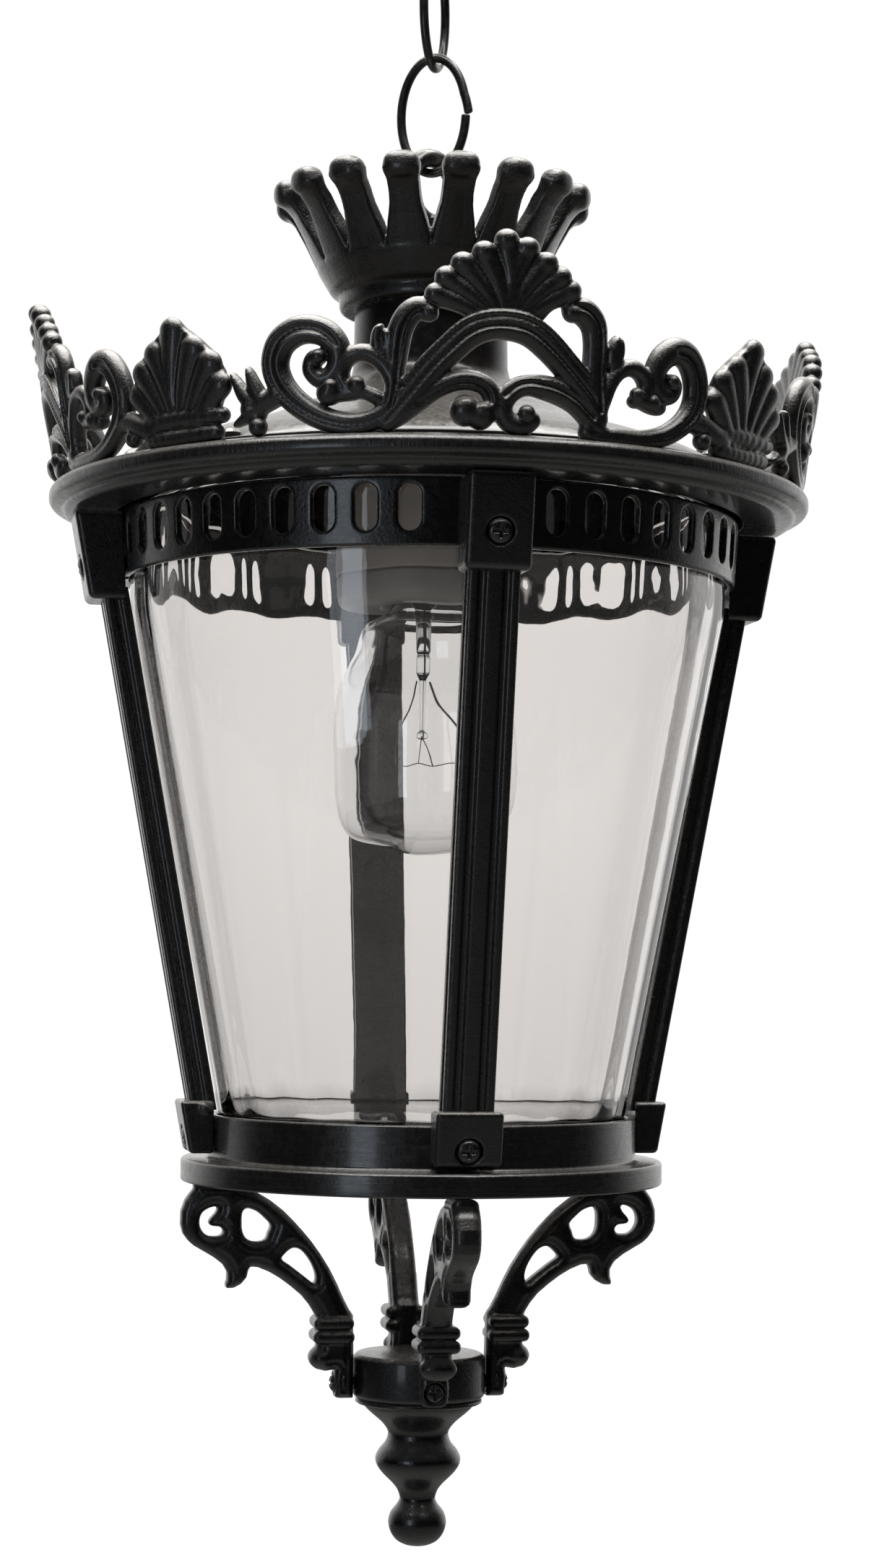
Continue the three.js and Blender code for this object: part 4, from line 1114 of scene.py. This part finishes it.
cap_profile = [(0, -5), (2.6, -5), (3.6, -5.6), (4.4, -6.6), (9, -8.2), (12.6, -9.6), (13.3, -10.8)]
cap_profile += [(13.4, -11 - 0.36 * k) for k in range(1, 50)] + [(13.4, -29.1), (13, -29.4), (0, -29.4)]
place("lamp_screw_cap", *lathe(cap_profile, 96, threaded), BRASS, "bulb_cap", "lamp_cap", "brass")

bulb_outer = smooth_path([
    (13, -30), (13, -34), (13, -38), (15, -41.5), (18.6, -43.4), (21.2, -45.6), (22.3, -50),
    (23.5, -56), (26, -62), (28.6, -69), (29.9, -77), (30.2, -88), (29.9, -100), (28.6, -108),
    (25.6, -114), (20, -117.8), (12, -120.2), (4, -121.8),
], 3)
way = np.gradient(bulb_outer, axis=0)
way /= np.linalg.norm(way, axis=1)[:, None]
bulb_inner = bulb_outer + np.stack([way[:, 1], -way[:, 0]], 1) * 0.7
outside = np.concatenate([[(6.4, -30.6), (6.4, -29.8), (12.4, -29.8)], bulb_outer, [(0, -122)]])
inside = np.concatenate([[(0, -121.3)], bulb_inner[::-1][:-1], [(12.3, -30.6), (6.4, -30.6)]])
bulb_profile = np.concatenate([outside, inside])
place("lamp_bulb_glass", *lathe(bulb_profile, 96), BULB_GLASS, "bulb_glass", "lamp_bulb", "clear_glass")
bulb_stem_profile = [
    (0, -29.8), (6, -29.8), (6, -34), (4.6, -38), (2.8, -42), (2.4, -54.5), (1.8, -55.3), (2.4, -56.4),
    (2.3, -61.5), (1.1, -63.6), (0.8, -80.6), (1.9, -81.4), (1.9, -83), (0, -83.8),
]
turned("lamp_stem", bulb_stem_profile, BULB_GLASS, "bulb_stem", 32, 0.5, body="lamp_bulb", slot="clear_glass")
lead = [(2.2, -0.4, -64.2), (4.6, -0.8, -72), (9.4, -1.4, -80), (11.6, -1.6, -87), (11.4, -1.6, -92)]
coil = [
    (11.4, -1.6, -92), (7, -4.2, -91.4), (2.2, -5.4, -92.6), (-2.2, -5.4, -91.8), (-7, -4.2, -92.8),
    (-11.4, -1.6, -92),
]
lamp_wires = [
    wire(smooth_path(lead, 5), 0.32, 8),
    wire(smooth_path(np.array(lead) * [-1, 1, 1], 5), 0.32, 8),
    wire(smooth_path(coil, 8), 0.16, 6),
    wire(smooth_path([(0, 0, -82.4), (1.4, -3.6, -87.5), (2.2, -5.4, -92.4)], 5), 0.16, 6),
    wire(smooth_path([(0, 0, -82.4), (-1.4, -3.6, -87.5), (-2.2, -5.4, -91.7)], 5), 0.16, 6),
]
place("lamp_filament", *merged(lamp_wires), TUNGSTEN, "filament", "lamp_bulb", "tungsten")

CAD_MATERIALS = {
    "neck_nut": STEEL, "mounting_strap": STEEL, "terminal_block": PLASTIC, "cable_gland": RUBBER,
    "ceiling_screw_1": STEEL, "ceiling_screw_2": STEEL, "roof_screw_1": CAST_SMOOTH,
    "roof_screw_2": CAST_SMOOTH, "roof_screw_3": CAST_SMOOTH, "roof_screw_4": CAST_SMOOTH,
}
for node, material in CAD_MATERIALS.items():
    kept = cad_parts[node]
    if kept.material_slots:
        kept.material_slots[0].material = material
    else:
        kept.data.materials.append(material)


# ---------------------------------------------------------------- camera, light and floor
VIEW = {"azimuth": -10.7, "distance": 980.0, "height": -159.23, "pitch": 0.0621, "yaw": 0.0047,
        "roll": 0.0114, "focal": 4088.98, "frame_height": 2172}
SENSOR = 36
pitch, yaw, roll = VIEW["pitch"], VIEW["yaw"], VIEW["roll"]
forward = Vector((math.sin(yaw) * math.cos(pitch), math.cos(yaw) * math.cos(pitch), math.sin(pitch)))
right = Vector((math.cos(yaw), -math.sin(yaw), 0))
up = right.cross(forward)
rolled_right = right * math.cos(roll) + up * math.sin(roll)
rolled_up = up * math.cos(roll) - right * math.sin(roll)
basis = Matrix((rolled_right, rolled_up, -forward)).transposed().to_4x4()
swing = Matrix.Rotation(math.radians(VIEW["azimuth"]), 4, "Z")
camera_data = bpy.data.cameras.new("camera")
camera_data.sensor_width = SENSOR
camera_data.lens = SENSOR * VIEW["focal"] / VIEW["frame_height"]
camera_data.clip_start, camera_data.clip_end = 0.01, 100
camera = bpy.data.objects.new("camera", camera_data)
bpy.context.collection.objects.link(camera)
camera.matrix_world = swing @ Matrix.Translation(
    (0, -VIEW["distance"] * MM, (VIEW["height"] + RIM_LEVEL) * MM)) @ basis
bpy.context.scene.camera = camera


def area_light(name, place_m, towards_m, size, power, colour):
    data = bpy.data.lights.new(name, "AREA")
    data.shape = "RECTANGLE"
    data.size, data.size_y = size
    data.energy = power
    data.color = colour
    light = bpy.data.objects.new(name, data)
    bpy.context.collection.objects.link(light)
    aim = (Vector(towards_m) - Vector(place_m)).to_track_quat("-Z", "Y").to_matrix().to_4x4()
    light.matrix_world = swing @ Matrix.Translation(place_m) @ aim


area_light("top_softbox", (0.0, -0.1, 1.15), (0, 0, -0.1), (1.7, 1.8), 80, (1.0, 0.985, 0.96))
area_light("window", (-0.64, -1.12, -0.36), (0, 0, -0.32), (0.3, 0.6), 1.5, (0.8, 0.89, 1.0))

world = bpy.data.worlds.new("studio")
bpy.context.scene.world = world
world.use_nodes = True
tree = world.node_tree
tree.nodes.clear()


add = adder(tree)
# a dark side behind the camera and a white sweep behind the lantern, as in a product booth
direction = add("ShaderNodeTexCoord").outputs["Generated"]
backwards = swing @ Vector((0, 1, 0))
facing = add("ShaderNodeVectorMath", {0: direction, 1: backwards}, operation="DOT_PRODUCT").outputs["Value"]
sweep = span(add, facing, 0.14, 0.8, 0.02, 1.0, interpolation_type="SMOOTHSTEP")
height = add("ShaderNodeSeparateXYZ", {0: direction}).outputs["Z"]
strength = math_of(add, "MULTIPLY", sweep, span(add, height, -0.6, 0.05, 0.12, 1.0))
# what is seen through the glass stays pale from every side
light_path = add("ShaderNodeLightPath")
through = math_of(add, "MULTIPLY", light_path.outputs["Is Transmission Ray"], 0.42)
strength = math_of(add, "MAXIMUM", strength, through)
lit = add("ShaderNodeBackground", {"Color": (0.99, 0.98, 0.97, 1), "Strength": strength})
seen = add("ShaderNodeBackground", {"Color": (1, 1, 1, 1), "Strength": 1.05})
camera_ray = light_path.outputs["Is Camera Ray"]
choice = add("ShaderNodeMixShader", {0: camera_ray, 1: lit.outputs[0], 2: seen.outputs[0]})
add("ShaderNodeOutputWorld", {"Surface": choice.outputs[0]})
bpy.context.scene.view_settings.view_transform = "Standard"

floor_material, tree, shader, add = nodes_of("pale_floor")
shader.inputs["Roughness"].default_value = 0.9
clouds = span(add, noise(add, 4, 4.0), 0.3, 0.7, 0.0, 1.0)
floor_colour = mix(add, clouds, (0.54, 0.54, 0.53, 1), (0.58, 0.58, 0.57, 1))
tree.links.new(floor_colour, shader.inputs["Base Color"])
FLOOR = {"half": 8, "level": -3}
floor_mesh = bpy.data.meshes.new("floor")
half, level = FLOOR["half"], FLOOR["level"]
corners = [(-half, -half, level), (half, -half, level), (half, half, level), (-half, half, level)]
floor_mesh.from_pydata(corners, [], [(0, 1, 2, 3)])
floor_mesh.materials.append(floor_material)
floor = bpy.data.objects.new("floor", floor_mesh)
bpy.context.collection.objects.link(floor)
